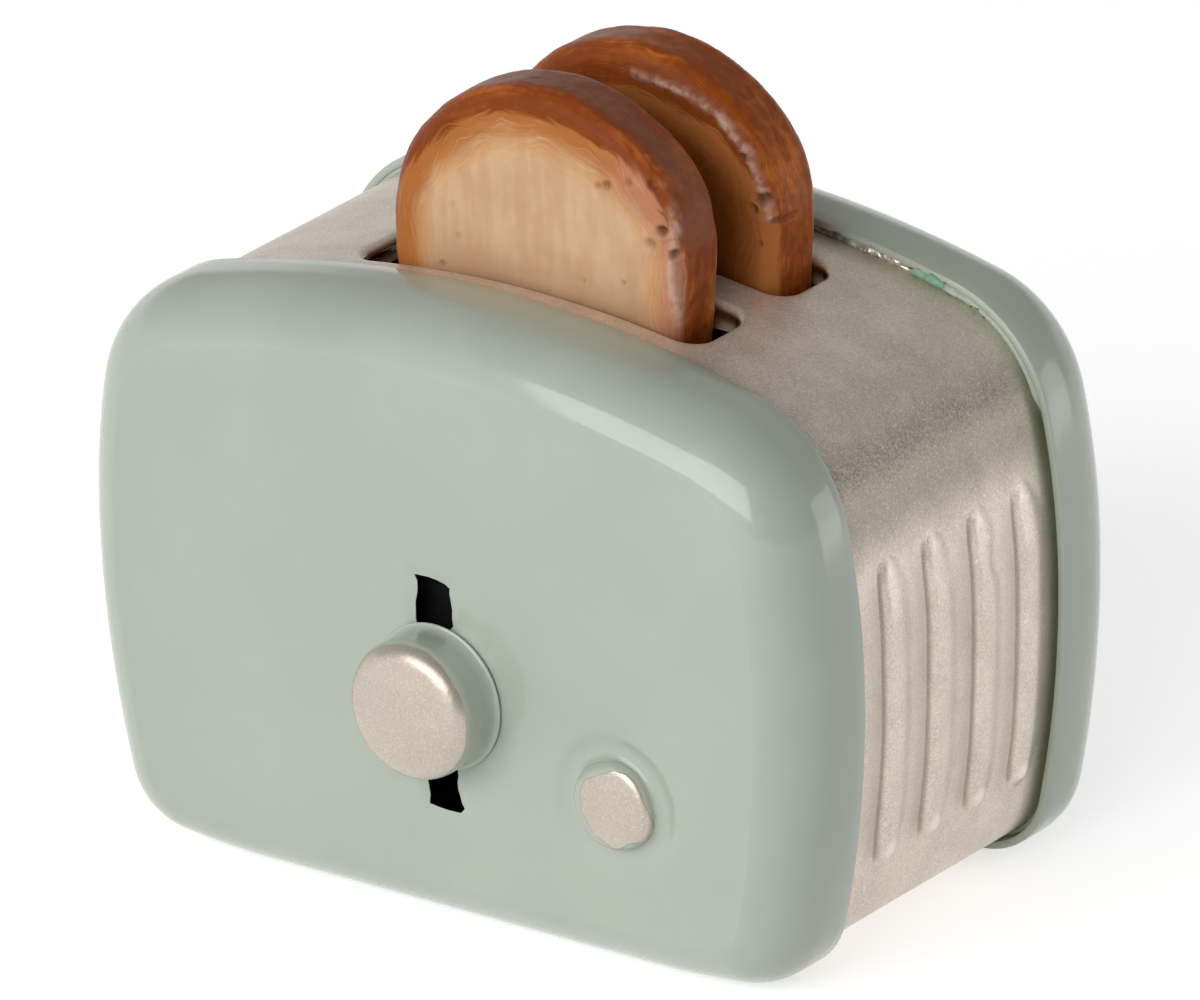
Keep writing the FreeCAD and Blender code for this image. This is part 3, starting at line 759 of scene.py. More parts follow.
dial_low, dial_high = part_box("dial_button")
dial_x = (dial_low.x + dial_high.x) / 2
dial_z = (dial_low.z + dial_high.z) / 2
dish_depth = 0.34 * mm
dish_floor_radius = 4.0 * mm
dish_rim_radius = 5.25 * mm
knob_seat_radius = 5.35 * mm
fine_mesh_radius = 6.2 * mm
paint_ridge = 0.1 * mm
paint_ridge_width = 0.24 * mm

slot_roll_depth = 0.16 * mm
slot_roll_width = 0.45 * mm
slot_undercut = 1.2
slot_middle_z = 17.3 * mm
slot_outline = [(-1.28, 25.4), (-0.1, 25.45), (0.62, 25.38), (1.3, 25.2), (1.62, 25.02), (1.6, 24.6),
                (1.7, 24.0), (1.78, 23.5), (1.74, 22.9), (1.82, 22.35), (1.5, 22.0), (1.62, 21.2),
                (1.55, 17.0), (1.64, 13.0), (1.78, 11.6), (1.68, 11.2), (1.72, 10.7), (1.98, 9.8),
                (2.2, 9.35), (1.85, 8.98), (0.8, 8.95), (-0.15, 9.02), (-0.72, 9.1), (-0.62, 9.8),
                (-0.75, 10.5), (-1.0, 13.0), (-0.98, 17.0), (-1.02, 21.2), (-1.28, 22.2),
                (-1.25, 23.4), (-1.06, 24.3), (-1.05, 24.95)]


def panel_along(u, v):
    """Place along the outline of a point on the rim of the panel's unit square."""
    top_end = (arc_ends[1] + arc_ends[2]) / 2
    side_end = (arc_ends[4] + arc_ends[5]) / 2
    if v == 1:
        return top_end * (2 * u - 1)
    if u in (0, 1):
        return (2 * u - 1) * (top_end + (side_end - top_end) * (1 - v))
    below = side_end + (1 - u) * 2 * (half_round - side_end)
    return below if below <= half_round else below - 2 * half_round


def panel_point(u, v):
    """Point of the panel: the square's rim lies on the crease and the inside is spread evenly."""
    def rim(u, v):
        return Vector(outline_point(panel_along(u, v), crease_setback))
    across = rim(u, 0) * (1 - v) + rim(u, 1) * v + rim(0, v) * (1 - u) + rim(1, v) * u
    corners = ((rim(0, 0) * (1 - u) + rim(1, 0) * u) * (1 - v)
               + (rim(0, 1) * (1 - u) + rim(1, 1) * u) * v)
    return across - corners


def end_cover(name, face_y, inward):
    """One pan as a single skin: panel, pillow edge and flange; inward is its side's direction."""
    us, vs = [[0, crease_line] + [step / count for step in range(1, count)] + [1 - crease_line, 1]
              for count in (panel_columns, panel_rows)]

    def place(u, v):
        x, z = panel_point(u, v)
        return Vector((x, face_y, z))

    cover = laid_grid(name, us, vs, place)
    along = cover.data.attributes.new("along", "FLOAT", "POINT")
    for number, spot in enumerate(along.data):
        u, v = us[number % len(us)], vs[number // len(us)]
        if u in (0, 1) or v in (0, 1):
            spot.value = panel_along(u, v)
    rings = []
    for bend in [0.5, *range(1, pillow_bends + 1)]:
        turn = crease_angle + (math.pi / 2 - crease_angle) * bend / pillow_bends
        depth = edge_radius * (1 - math.cos(turn) / math.cos(crease_angle))
        rings.append((edge_radius * (1 - math.sin(turn)), depth))
    edit(cover, "EDGE")
    bpy.ops.mesh.region_to_loop()
    for setback, depth in rings + flange_rings:
        bpy.ops.mesh.extrude_edges_move()
        leave()
        along = cover.data.attributes["along"].data
        for vertex in cover.data.vertices:
            if vertex.select:
                x, z = outline_point(along[vertex.index].value, setback)
                vertex.co = (x, face_y + inward * depth, z)
        enter()
    leave()
    face_outward(cover)
    if cover.data.polygons[0].normal.y * inward > 0:
        edit(cover)
        bpy.ops.mesh.flip_normals()
        leave()
    normals = [vertex.normal.copy() for vertex in cover.data.vertices]
    for vertex, normal in zip(cover.data.vertices, normals):
        vertex.co += normal * wave(*vertex.co, 11 * mm, face_y / mm) * panel_unevenness
    return cover


front_cover = end_cover("front_cover_enamelled", front_low.y, 1)
rear_cover = end_cover("rear_cover_enamelled", cover_high.y, -1)


def on_front_face(spot):
    return spot.y < front_low.y + 0.2 * mm


def near(spot, x, z, reach):
    return math.hypot(spot.x - x, spot.z - z) < reach


def near_lever_slot(spot, spare):
    return (abs(spot.x - slot_centre_x) < 2.2 * mm + spare
            and abs(spot.z - slot_middle_z) < 8.4 * mm + spare)


edit(front_cover, "FACE", lambda middle: on_front_face(middle)
     and (near(middle, dial_x, dial_z, fine_mesh_radius) or near_lever_slot(middle, 1.2 * mm)
          or near(middle, slot_centre_x, slot_middle_z, fine_mesh_radius)))
bpy.ops.mesh.subdivide(number_cuts=1)
leave()


def closed_runs(path):
    """Straight runs of a closed line, as pairs of points."""
    return list(zip(path, path[1:] + path[:1]))


def path_distance(x, z, runs):
    """Distance from a line of straight runs, whose points are in millimetres."""
    nearest = 1.0
    spot = Vector((x / mm, z / mm))
    for start, end in runs:
        start = Vector(start)
        run = Vector(end) - start
        share = clamped((spot - start).dot(run) / run.length_squared)
        nearest = min(nearest, (spot - start - run * share).length * mm)
    return nearest


slot_runs = closed_runs(slot_outline)
for vertex in front_cover.data.vertices:
    place = vertex.co
    if on_front_face(place):
        reach = math.hypot(place.x - dial_x, place.z - dial_z)
        slope = (dish_rim_radius - reach) / (dish_rim_radius - dish_floor_radius)
        place.y += dish_depth * soft_step(slope)
        if near_lever_slot(place, 1.5 * mm):
            roll = path_distance(place.x, place.z, slot_runs) / slot_roll_width
            place.y += slot_roll_depth * hill(roll)
        out_x = place.x - slot_centre_x
        out_z = place.z - slot_middle_z
        ridge = (math.hypot(out_x, out_z) - knob_seat_radius) / paint_ridge_width
        upper_right = soft_step(1.6 * (out_x + out_z) / knob_seat_radius - 1.0)
        ragged = soft_step(0.6 + 1.8 * wave(*place, 1.1 * mm, 8.0))
        place.y -= paint_ridge * hill(ridge) * upper_right * ragged

for cover, face_y, mouth_y in ((front_cover, front_low.y, front_high.y),
                               (rear_cover, cover_high.y, cover_low.y)):
    outer_skin = len(cover.data.vertices)
    shape_with(cover, "SOLIDIFY", thickness=cover_sheet, offset=-1, use_even_offset=True)
    select_none(cover, "VERT")
    for vertex in list(cover.data.vertices)[outer_skin:]:
        spot = vertex.co
        vertex.select = (abs(spot.y - face_y) < cover_sheet + inner_crease_reach
                         and (abs(spot.x) > washer_zone[0]
                              or not washer_zone[1] < spot.z < washer_zone[2]))
    enter()
    bpy.ops.mesh.vertices_smooth(factor=0.5, repeat=12, yaxis=False)
    leave()
    edit(cover, "FACE", lambda middle: abs(middle.y - mouth_y) < 0.02 * mm)
    bpy.ops.mesh.region_to_loop()
    bpy.ops.mesh.bevel(offset=mouth_edge_break, segments=2)
    bpy.ops.mesh.select_all(action="SELECT")
    bpy.ops.mesh.dissolve_degenerate(threshold=0.002 * mm)
    leave()

bpy.ops.mesh.primitive_circle_add(vertices=len(slot_outline), fill_type="NGON")
slot_cutter = bpy.context.object
for vertex, (x, z) in zip(slot_cutter.data.vertices, slot_outline):
    vertex.co = (x * mm, front_low.y - mm, z * mm)
edit(slot_cutter)
for depth in (1.2 * mm, 1.6 * mm):
    bpy.ops.mesh.extrude_region_move(TRANSFORM_OT_translate={"value": (0, depth, 0)})
leave()
face_outward(slot_cutter)
for vertex in slot_cutter.data.vertices:
    if vertex.co.y > front_low.y + mm:
        vertex.co.x += (vertex.co.x - slot_centre_x) * slot_undercut
        vertex.co.z += (vertex.co.z - slot_middle_z) * slot_undercut / 5
shape_with(front_cover, "BOOLEAN", object=slot_cutter, operation="DIFFERENCE", solver="EXACT")
bpy.data.objects.remove(slot_cutter)

mint_colour = (0.43, 0.478, 0.398, 1)
mint_deep = (0.39, 0.443, 0.364, 1)
speck_colour = (0.16, 0.13, 0.09, 1)


def specks(vector, scale, channel, rarity, *fade):
    """Small dots in the rarest cells of a pattern."""
    cells = put(vector, "TexVoronoi", {"Vector": vector, "Scale": scale}).outputs
    shade = put(vector, "SeparateColor", {0: cells["Color"]}).outputs[channel]
    return times(calc("GREATER_THAN", shade, rarity), faded(cells["Distance"], *fade))


def enamel_effect():
    """Thick sprayed enamel: a slight cloudiness, orange peel, and a few specks of dust."""
    tree, given, result = effect("enamel skin", {"Vector": "Vector"},
                                 {"Cloud": "Float", "Speck": "Float", "Height": "Float"})
    vector = given["Vector"]
    peel = mottled(vector, 700.0, 2.0)
    feed(result, {"Cloud": faded(mottled(vector, 90.0, 3.0), 0.3, 0.7),
                  "Speck": specks(vector, 240.0, 0, 0.965, 0.03, 0.01, 0.0, 0.45),
                  "Height": plus(times(peel, 0.06), mottled(vector, 130.0, 1.0))})
    return tree


enamel_skin = enamel_effect()


def enamelled(name):
    """New material with the enamel's coat, its shader, the place and the enamel's colour."""
    material, shader, place = finish_named(name)
    skin = put(place, "Group", {"Vector": place}, node_tree=enamel_skin).outputs
    colour = layered(mint_deep, (skin["Cloud"], mint_colour), (skin["Speck"], speck_colour))
    feed(shader, {"Base Color": colour, "Normal": bumped(skin["Height"], 0.35, 0.05 * mm),
                  "Roughness": 0.5, "Coat Weight": 0.9, "Coat Roughness": 0.1})
    return material, shader, place, colour


mint_enamel = enamelled("mint_enamel")[0]
fit_out(front_cover, "housing", mint_enamel, "mint_enamel", "front_cover")
fit_out(rear_cover, "housing", mint_enamel, "mint_enamel", "rear_cover")


# ---------- solder beads
# Solder run along the seam between each cover and the wrap. It is lumpy and green with flux
# on the crown, where it fills the seam, and lies deeper in the seam on the sides.
bead_outer_setback = 0.56 * mm
bead_inner_setback = wrap_setback + 0.04 * mm
bead_depth = 2.3 * mm
bead_bulge = 0.12 * mm
bead_side_depth = 0.9 * mm
bead_step = 0.5 * mm
bead_fine_step = 0.22 * mm
lump_start_x = 11.0 * mm
lump_end_x = 24.5 * mm
lump_rise = 0.30 * mm
flux_hole = (18.0 * mm, 0.28 * mm)
bead_green = (0.33, 0.39, 0.32, 1)
bead_pale_green = (0.50, 0.54, 0.45, 1)
bead_toast_shadow = (0.085, 0.06, 0.045, 1)
bead_silver = (0.62, 0.55, 0.52, 1)
flux_green = (0.20, 0.40, 0.27, 1)
scratch_brown = (0.13, 0.10, 0.06, 1)


def solder_bead(name, node, mouth_y, inward, seed):
    """Closed bead all round: its section goes from the wrap over the bulge and back inside."""
    start, end = [crown_along(x, wrap_setback) for x in (lump_start_x, lump_end_x - 4 * mm)]
    end += 5 * mm
    places = (stations([-half_round, start], bead_step)[:-1]
              + stations([start, end], bead_fine_step) + stations([end, half_round], bead_step)[1:])
    section = [(share, math.sin(math.pi * share)) for share in (0, 0.12, 0.3, 0.5, 0.7, 0.88, 1)]
    corners = len(section) + 2

    def place(along, corner):
        corner = corner % corners
        if corner >= len(section):
            setback = (bead_outer_setback, bead_inner_setback)[corner - len(section)]
            x, z = outline_point(along, setback)
            return Vector((x, mouth_y - inward * bead_depth, z))
        fill = soft_step((arc_ends[2] + 1.5 * mm - abs(along)) / (3 * mm))
        share, bulge = section[corner]
        x, z = outline_point(along, wrap_setback)
        rough = wave(x, share, z, 1.3 * mm, seed) * 0.09 * mm
        lumpy = soft_step((x - lump_start_x) / (2 * mm)) * soft_step((lump_end_x - x) / (3 * mm))
        lumpy *= fill if z > lip_bottom - 6 * mm else 0.0
        swell = 0.5 + 0.9 * wave(x, share * 0.5 * mm, z, 0.9 * mm, seed + 2)
        swell += 0.5 * wave(x, share * mm, z, 0.35 * mm, seed + 4)
        hole = hill((x - flux_hole[0]) / flux_hole[1]) if z > lip_bottom else 0.0
        lift = lump_rise * lumpy * max(swell, 0.0) * (1 - 1.6 * hole)
        setback = bead_inner_setback - share * (wrap_setback - bead_outer_setback + 1.3 * lift)
        x, z = outline_point(along, setback)
        front_y = mouth_y - inward * (0.05 * mm + bead_side_depth * (1 - fill))
        y = front_y + inward * (bead_bulge * bulge + rough * bulge + lift * (0.35 + bulge * 0.6))
        return Vector((x, y, z))

    bead = laid_grid(name, places, range(corners + 1), place)
    face_outward(bead, 0.002 * mm)
    fit_out(bead, "housing", seam_solder, "solder", node, smooth_angle=60)


def bead_finish():
    material, shader, place = finish_named("seam_solder")
    x, y, z = apart(place)
    mottle = mottled(place, 900.0, 4.0)
    spots = mottled(place, 2600.0, 3.0)
    shifted = plus(x, times(minus(mottle, 0.5), 3.0 * mm))
    high = faded(z, 36 * mm, 38 * mm)

    def between(start, end, soft, *fade):
        """Mask of a stretch of the crown's seam, broken up by the spots."""
        inside = times(faded(shifted, (start - soft) * mm, (start + soft) * mm),
                       faded(shifted, (end + soft) * mm, (end - soft) * mm))
        return times(inside, high, faded(spots, *fade))

    shiny = between(13.6, 18.2, 0.5, 0.36, 0.46)
    # Painted shadow: dark brown patches on the crown's seam, left of the silver smears, where the
    # toast shades it.
    colour = layered(blended(mottle, bead_green, bead_pale_green),
                     (between(-16, 13.2, 1.0, 0.35, 0.6, 0.5, 1.0), bead_toast_shadow),
                     (shiny, bead_silver),
                     (between(18.4, 21.2, 0.4, 0.3, 0.5, 0.35, 1.0), flux_green),
                     (between(20.6, 25.5, 0.6, 0.56, 0.64), scratch_brown))
    feed(shader, {"Base Color": colour, "Metallic": times(shiny, 0.7),
                  "Roughness": faded(shiny, 0.0, 1.0, 0.5, 0.25),
                  "Normal": bumped(spots, 0.8, 0.05 * mm)})
    return material


seam_solder = bead_finish()
solder_bead("seam_bead_rear", "solder_bead_rear", cover_low.y, -1, 3.0)
solder_bead("seam_bead_front", "solder_bead_front", front_high.y, 1, 11.0)


# ---------- lever knob
# Turned knob, dipped in the mint enamel and then brushed with silver paint on its slightly
# domed face. It is screwed on the stem, which slides in the lever slot.
knob_low, knob_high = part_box("lever_knob")
knob_radius = 4.86 * mm
knob_foot_radius = 5.16 * mm
knob_foot_edge = 0.14 * mm
knob_cove = 0.95 * mm
knob_rim_radius = 1.4 * mm
knob_crown = 0.35 * mm
knob_droop = 0.12 * mm
knob_axis = Vector((slot_centre_x, 0, (knob_low.z + knob_high.z) / 2 - knob_droop))
turned_steps = 96
dab_dark = (0.47, 0.41, 0.34, 1)
dab_light = (0.61, 0.54, 0.46, 1)


def turned(name, profile, axis, front_y, size, amount, seed):
    """Turned from a closed profile of (radius, y) points, and in front of front_y out of round."""
    bpy.ops.mesh.primitive_circle_add(vertices=len(profile), fill_type="NOTHING")
    piece = bpy.context.object
    piece.name = name
    for vertex, (radius, y) in zip(piece.data.vertices, profile):
        vertex.co = (axis.x + radius, y, axis.z)
    edit(piece, "EDGE")
    bpy.ops.mesh.spin(steps=turned_steps, angle=2 * math.pi, center=axis, axis=(0, 1, 0))
    bpy.ops.mesh.select_all(action="SELECT")
    bpy.ops.mesh.remove_doubles(threshold=0.002 * mm)
    bpy.ops.mesh.dissolve_degenerate(threshold=0.001 * mm)
    bpy.ops.mesh.select_all(action="SELECT")
    bpy.ops.mesh.delete_loose()
    leave()
    face_outward(piece)
    for vertex in piece.data.vertices:
        out = vertex.co - axis
        if vertex.co.y < front_y:
            swell = 1 + amount * wave(out.x, 0, out.z, size, seed)
            vertex.co.x = axis.x + out.x * swell
            vertex.co.z = axis.z + out.z * swell
    return piece


def cove(foot_radius, barrel_radius, start_y, depth, steps=6):
    """Hollow curve from a foot that lies flat to a barrel that stands straight."""
    reach = foot_radius - barrel_radius
    turns = [math.pi / 2 * step / steps for step in range(steps + 1)]
    return [(foot_radius - reach * math.sin(turn), start_y - depth * (1 - math.cos(turn)))
            for turn in turns]


def rim_and_face(radius, rim_radius, front_y, crown, rim_steps, face_steps):
    """Profile from a barrel round the rim and over the slightly domed face to its middle."""
    turns = [math.pi / 2 * step / rim_steps for step in range(rim_steps + 1)]
    points = [(radius - rim_radius * (1 - math.cos(turn)),
               front_y + crown + rim_radius * (1 - math.sin(turn))) for turn in turns]
    shares = [1 - step / face_steps for step in range(1, face_steps)]
    points += [(points[-1][0] * share, front_y + crown * share * share) for share in shares]
    return points + [(0.0, front_y)]


def knob_profile():
    """From the back's middle out to the flared foot, along the barrel and over the domed face."""
    back_y = knob_high.y
    points = [(0.0, back_y), (0.5 * knob_radius, back_y), (knob_foot_radius - 0.1 * mm, back_y),
              (knob_foot_radius, back_y - knob_foot_edge / 2)]
    points += cove(knob_foot_radius - 0.03 * mm, knob_radius - 0.1 * mm, back_y - knob_foot_edge,
                   knob_cove)
    return points + rim_and_face(knob_radius, knob_rim_radius, knob_low.y, knob_crown, 9, 9)


knob = turned("knob_painted", knob_profile(), knob_axis, knob_high.y - mm, 3.5 * mm, 0.014, 2.0)


def dabbed_finish(name, dab_mask, streak, streak_depth):
    """Mint enamel with silver paint dabbed on where the mask says; it has fine streaks in it."""
    material, shader, place, mint = enamelled(name)
    dabbed = dab_mask(place)
    turned_place = put(place, "Mapping", {"Vector": place, "Rotation": (0, math.radians(-38), 0),
                                          "Scale": (streak, 1, 1)}).outputs[0]
    height = times(dabbed, plus(mottled(turned_place, 3600.0, 3.0), 0.8))
    silver = silver_layer(place, dab_dark, dab_light, 0.22)[0]
    feed(shader, {"Base Color": blended(dabbed, mint, silver), "Metallic": times(dabbed, 0.62),
                  "Roughness": faded(dabbed, 0.0, 1.0, 0.5, 0.34),
                  "Coat Weight": faded(dabbed, 0.0, 1.0, 0.9, 0.12),
                  "Normal": bumped(height, 0.7, streak_depth)})
    return material


def knob_dab(place):
    """Silver in front of a slightly ragged line round the barrel."""
    shifted = times(minus(mottled(place, 330.0, 3.0), 0.5), 0.5 * mm)
    edge_y = knob_low.y + knob_crown + 0.85 * mm
    return faded(plus(apart(place)["Y"], shifted), edge_y + 0.03 * mm, edge_y - 0.03 * mm)


fit_out(knob, "carriage", dabbed_finish("knob_mint_and_silver", knob_dab, 1.0, 0.022 * mm),
        "mint_enamel", "lever_knob")


# ---------- lever stem and washers
# Screwed stem behind the knob. A nylon washer slides on the inside of the cover, and a
# coned steel washer under a hexagon nut presses it there, so the lever stays where it is left.
# The nylon washer, the stem and the coned washer are near-black as painted shade inside the slot.
washer_slot_shade_black = (0.003, 0.003, 0.003, 1)
washer_slot_shade_dull = (0.005, 0.005, 0.005, 1)
finish_solids(sheet_metal("black_nylon", washer_slot_shade_black, washer_slot_shade_dull, 0.8, 0.95, 0.03),
              "slide_washer")
finish_solids(slot_shade_black_finish, "lever_stem", "spring_washer")
finish_solids(tinplate, "stem_nut")


# ---------- dial button
# Low button riveted into its dished seat and enamelled over with the cover. Its face is
# dabbed with silver paint, whose ragged edge runs down over the rim on the right.
dial_radius = 3.15 * mm
dial_foot_radius = 3.95 * mm
dial_foot_edge = 0.045 * mm
dial_rim_radius = 0.75 * mm
dial_crown = 0.12 * mm
dial_axis = Vector((dial_x, 0, dial_z))
dab_outline = [(13.0, 14.4), (15.2, 15.45), (16.2, 15.65), (17.2, 15.0), (17.9, 13.4), (18.5, 12.4),
               (18.5, 11.9), (18.0, 11.2), (16.7, 10.65), (15.2, 9.8), (13.6, 10.5),
               (12.5, 12.0), (12.5, 13.6)]
dab_runs = closed_runs(dab_outline)


def dial_profile():
    """From the back's middle out to the foot, up a hollow curve, round the rim and over the face."""
    seat_y = front_low.y + dish_depth + 0.05 * mm
    foot_y = seat_y - dial_foot_edge
    points = [(0.0, seat_y), (0.6 * dial_radius, seat_y), (dial_foot_radius, seat_y)]
    points += cove(dial_foot_radius, dial_radius, foot_y,
                   foot_y - dial_low.y - dial_crown - dial_rim_radius)
    return points + rim_and_face(dial_radius, dial_rim_radius, dial_low.y, dial_crown, 8, 10)


dial = turned("dial_painted", dial_profile(), dial_axis, front_low.y, 2.6 * mm, 0.05, 5.0)


def dab_inside(spot):
    """Millimetres inside the dab's outline, counted negative outside; it runs on over the rim."""
    behind = max(spot.y - dial_low.y - 0.15 * mm, 0.0)
    x = spot.x + 0.77 * behind
    z = spot.z + 0.53 * behind
    away = path_distance(x, z, dab_runs) / mm
    crossings = 0
    for (start_x, start_z), (end_x, end_z) in dab_runs:
        if (start_z > z / mm) != (end_z > z / mm):
            share = (z / mm - start_z) / (end_z - start_z)
            crossings += x / mm < start_x + share * (end_x - start_x)
    return away if crossings % 2 else -away


mark_points(dial, "dab", dab_inside)


def dial_dab(place):
    """Silver inside the dab's outline, with a finely ragged edge."""
    ragged = times(minus(mottled(place, 1500.0, 3.0), 0.5), 0.5)
    return faded(plus(read_mark(place, "dab"), ragged), -0.03, 0.05)


fit_out(dial, "housing", dabbed_finish("dial_mint_and_silver", dial_dab, 0.3, 0.05 * mm),
        "silver_paint", "dial_button")
finish_solids(tinplate, "dial_push_nut")


# ---------- slices of bread
# Two loose slices, cast in resin with soft lumps, ridges and a few pits. The crumb is painted
# tan, the border is glazed orange in thin strokes, and the crust is brushed brown.
slice_voxel = 0.18 * mm
slice_half_thickness = 2.6 * mm
ridge_rise = 0.26
front_pits = [(11.8, 48.7, 0.34, 0.5), (10.8, 47.6, 0.42, 0.2), (10.9, 51.6, 0.34, 0.2),
              (9.1, 51.5, 0.3, 0.16), (7.3, 50.9, 0.32, 0.24), (6.7, 50.8, 0.22, 0.2),
              (12.5, 47.2, 0.32, 0.3), (8.4, 44.3, 0.18, 0.14), (-6.4, 42.5, 0.2, 0.2),
              (-5.1, 44.7, 0.3, 0.06), (-5.4, 46.9, 0.24, 0.05), (5.3, 43.8, 0.16, 0.1)]
rear_pits = [(12.7, 47.8, 0.45, 0.5), (12.1, 47.1, 0.34, 0.3), (11.3, 50.5, 0.28, 0.24),
             (13.4, 46.3, 0.28, 0.24), (7.8, 49.5, 0.4, 0.08), (12.4, 44.6, 0.2, 0.2)]
front_ridge = [(9.6, 54.0), (11.2, 52.6), (12.3, 50.8), (12.6, 48.9), (12.3, 46.6), (12.3, 44.4),
               (12.6, 42.0)]
rear_ridge = [(2.6, 54.6), (6.4, 54.2), (9.2, 53.2), (11.6, 50.8), (12.7, 48.4), (13.1, 46.6)]
crumb_light = (0.68, 0.45, 0.275, 1)
crumb_tan = (0.60, 0.375, 0.215, 1)
crumb_low_shadow = (0.46, 0.275, 0.155, 1)
glaze_deep = (0.44, 0.15, 0.036, 1)
glaze_light = (0.62, 0.29, 0.10, 1)
glaze_streak = (0.80, 0.56, 0.34, 1)
glaze_pink = (0.50, 0.205, 0.11, 1)
crust_orange = (0.66, 0.18, 0.022, 1)
crust_brown = (0.30, 0.062, 0.008, 1)
crust_sheen = (0.22, 0.10, 0.066, 1)
crust_lap = (0.20, 0.042, 0.006, 1)
shaded_glaze = (0.27, 0.072, 0.0, 1)
shaded_crumb = (0.19, 0.05, 0.0, 1)
pit_shade_brown = (0.085, 0.030, 0.012, 1)
ridge_highlight_colour = (0.60, 0.40, 0.31, 1)
bread_marks = ("band", "around", "ridge", "pit")


def outline_ring(node):
    """Points 0.2 mm apart round the widest outline of a slice's solid, seen from the front."""
    flat = [Vector((vertex.co.x, vertex.co.z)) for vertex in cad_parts[node].data.vertices]
    corners = [Vector((flat[number].x, 0, flat[number].y)) for number in convex_hull_2d(flat)]
    ring = []
    for start, end in closed_runs(corners):
        count = max(1, math.ceil((end - start).length / (0.2 * mm)))
        ring += [start + (end - start) * step / count for step in range(count)]
    return ring


def bread_slice(name, node, pits, ridge_path, ridge_width, seed):
    """A copy of the slice's solid, made an even mesh and then worked over with small dents."""
    low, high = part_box(node)
    middle_y = (low.y + high.y) / 2
    piece = bpy.data.objects.new(name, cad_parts[node].data.copy())
    bpy.context.scene.collection.objects.link(piece)
    edit(piece)
    bpy.ops.mesh.remove_doubles(threshold=0.002 * mm)
    leave()
    shape_with(piece, "REMESH", mode="VOXEL", voxel_size=slice_voxel, use_smooth_shade=True)
    shape_with(piece, "SMOOTH", factor=0.5, iterations=3)
    ring = outline_ring(node)
    lookup = KDTree(len(ring))
    rounds = [0.0]
    for number, spot in enumerate(ring):
        lookup.insert(spot, number)
        if number:
            rounds.append(rounds[-1] + (spot - ring[number - 1]).length)
    lookup.balance()
    for mark in bread_marks:
        piece.data.attributes.new(mark, "FLOAT", "POINT")
    band, around, ridge_highlight, pitted = [piece.data.attributes[mark].data for mark in bread_marks]
    ridge_runs = list(zip(ridge_path, ridge_path[1:]))
    normals = [vertex.normal.copy() for vertex in piece.data.vertices]
    for number, (vertex, normal) in enumerate(zip(piece.data.vertices, normals)):
        spot = vertex.co
        nearest, turn, inset = lookup.find(Vector((spot.x, 0, spot.z)))
        beside = slice_half_thickness - abs(spot.y - middle_y)
        band[number].value = (inset - beside) / mm
        around[number].value = rounds[turn] / mm
        lump = 0.15 * wave(*spot, 5.5 * mm, seed) + 0.07 * wave(*spot, 1.9 * mm, seed + 3)
        lump += 0.025 * wave(*spot, 0.7 * mm, seed + 6)
        if spot.y < middle_y:
            if spot.x > 0 and inset < 4 * mm:
                away = path_distance(spot.x, spot.z, ridge_runs) / ridge_width
                away += 0.35 * wave(*spot, 1.6 * mm, seed + 8)
                ridge = hill(away) * soft_step(1.1 + wave(*spot, 3.4 * mm, seed + 7))
                ridge *= soft_step(1.4 - beside / mm)
                # The ridge's mark carries the painted highlight along the crust's edge.
                ridge_highlight[number].value = ridge
                lump += ridge_rise * ridge
            for x, z, radius, depth in pits:
                away = math.hypot(spot.x / mm - x, spot.z / mm - z) / radius
                if away < 3:
                    away += 0.35 * wave(*spot, 0.5 * mm, seed + 9)
                    hollow = hill(away * away) if away > 0 else 1.0
                    pitted[number].value = max(pitted[number].value, hollow * min(depth * 3, 1))
                    lump -= depth * hollow - 0.3 * depth * hill((away - 1.5) * 2)
        vertex.co = spot + normal * lump * mm
    return piece


def weighed(*terms):
    """Sum of values, each with its weight."""
    return plus(*(times(value, weight) for value, weight in terms))


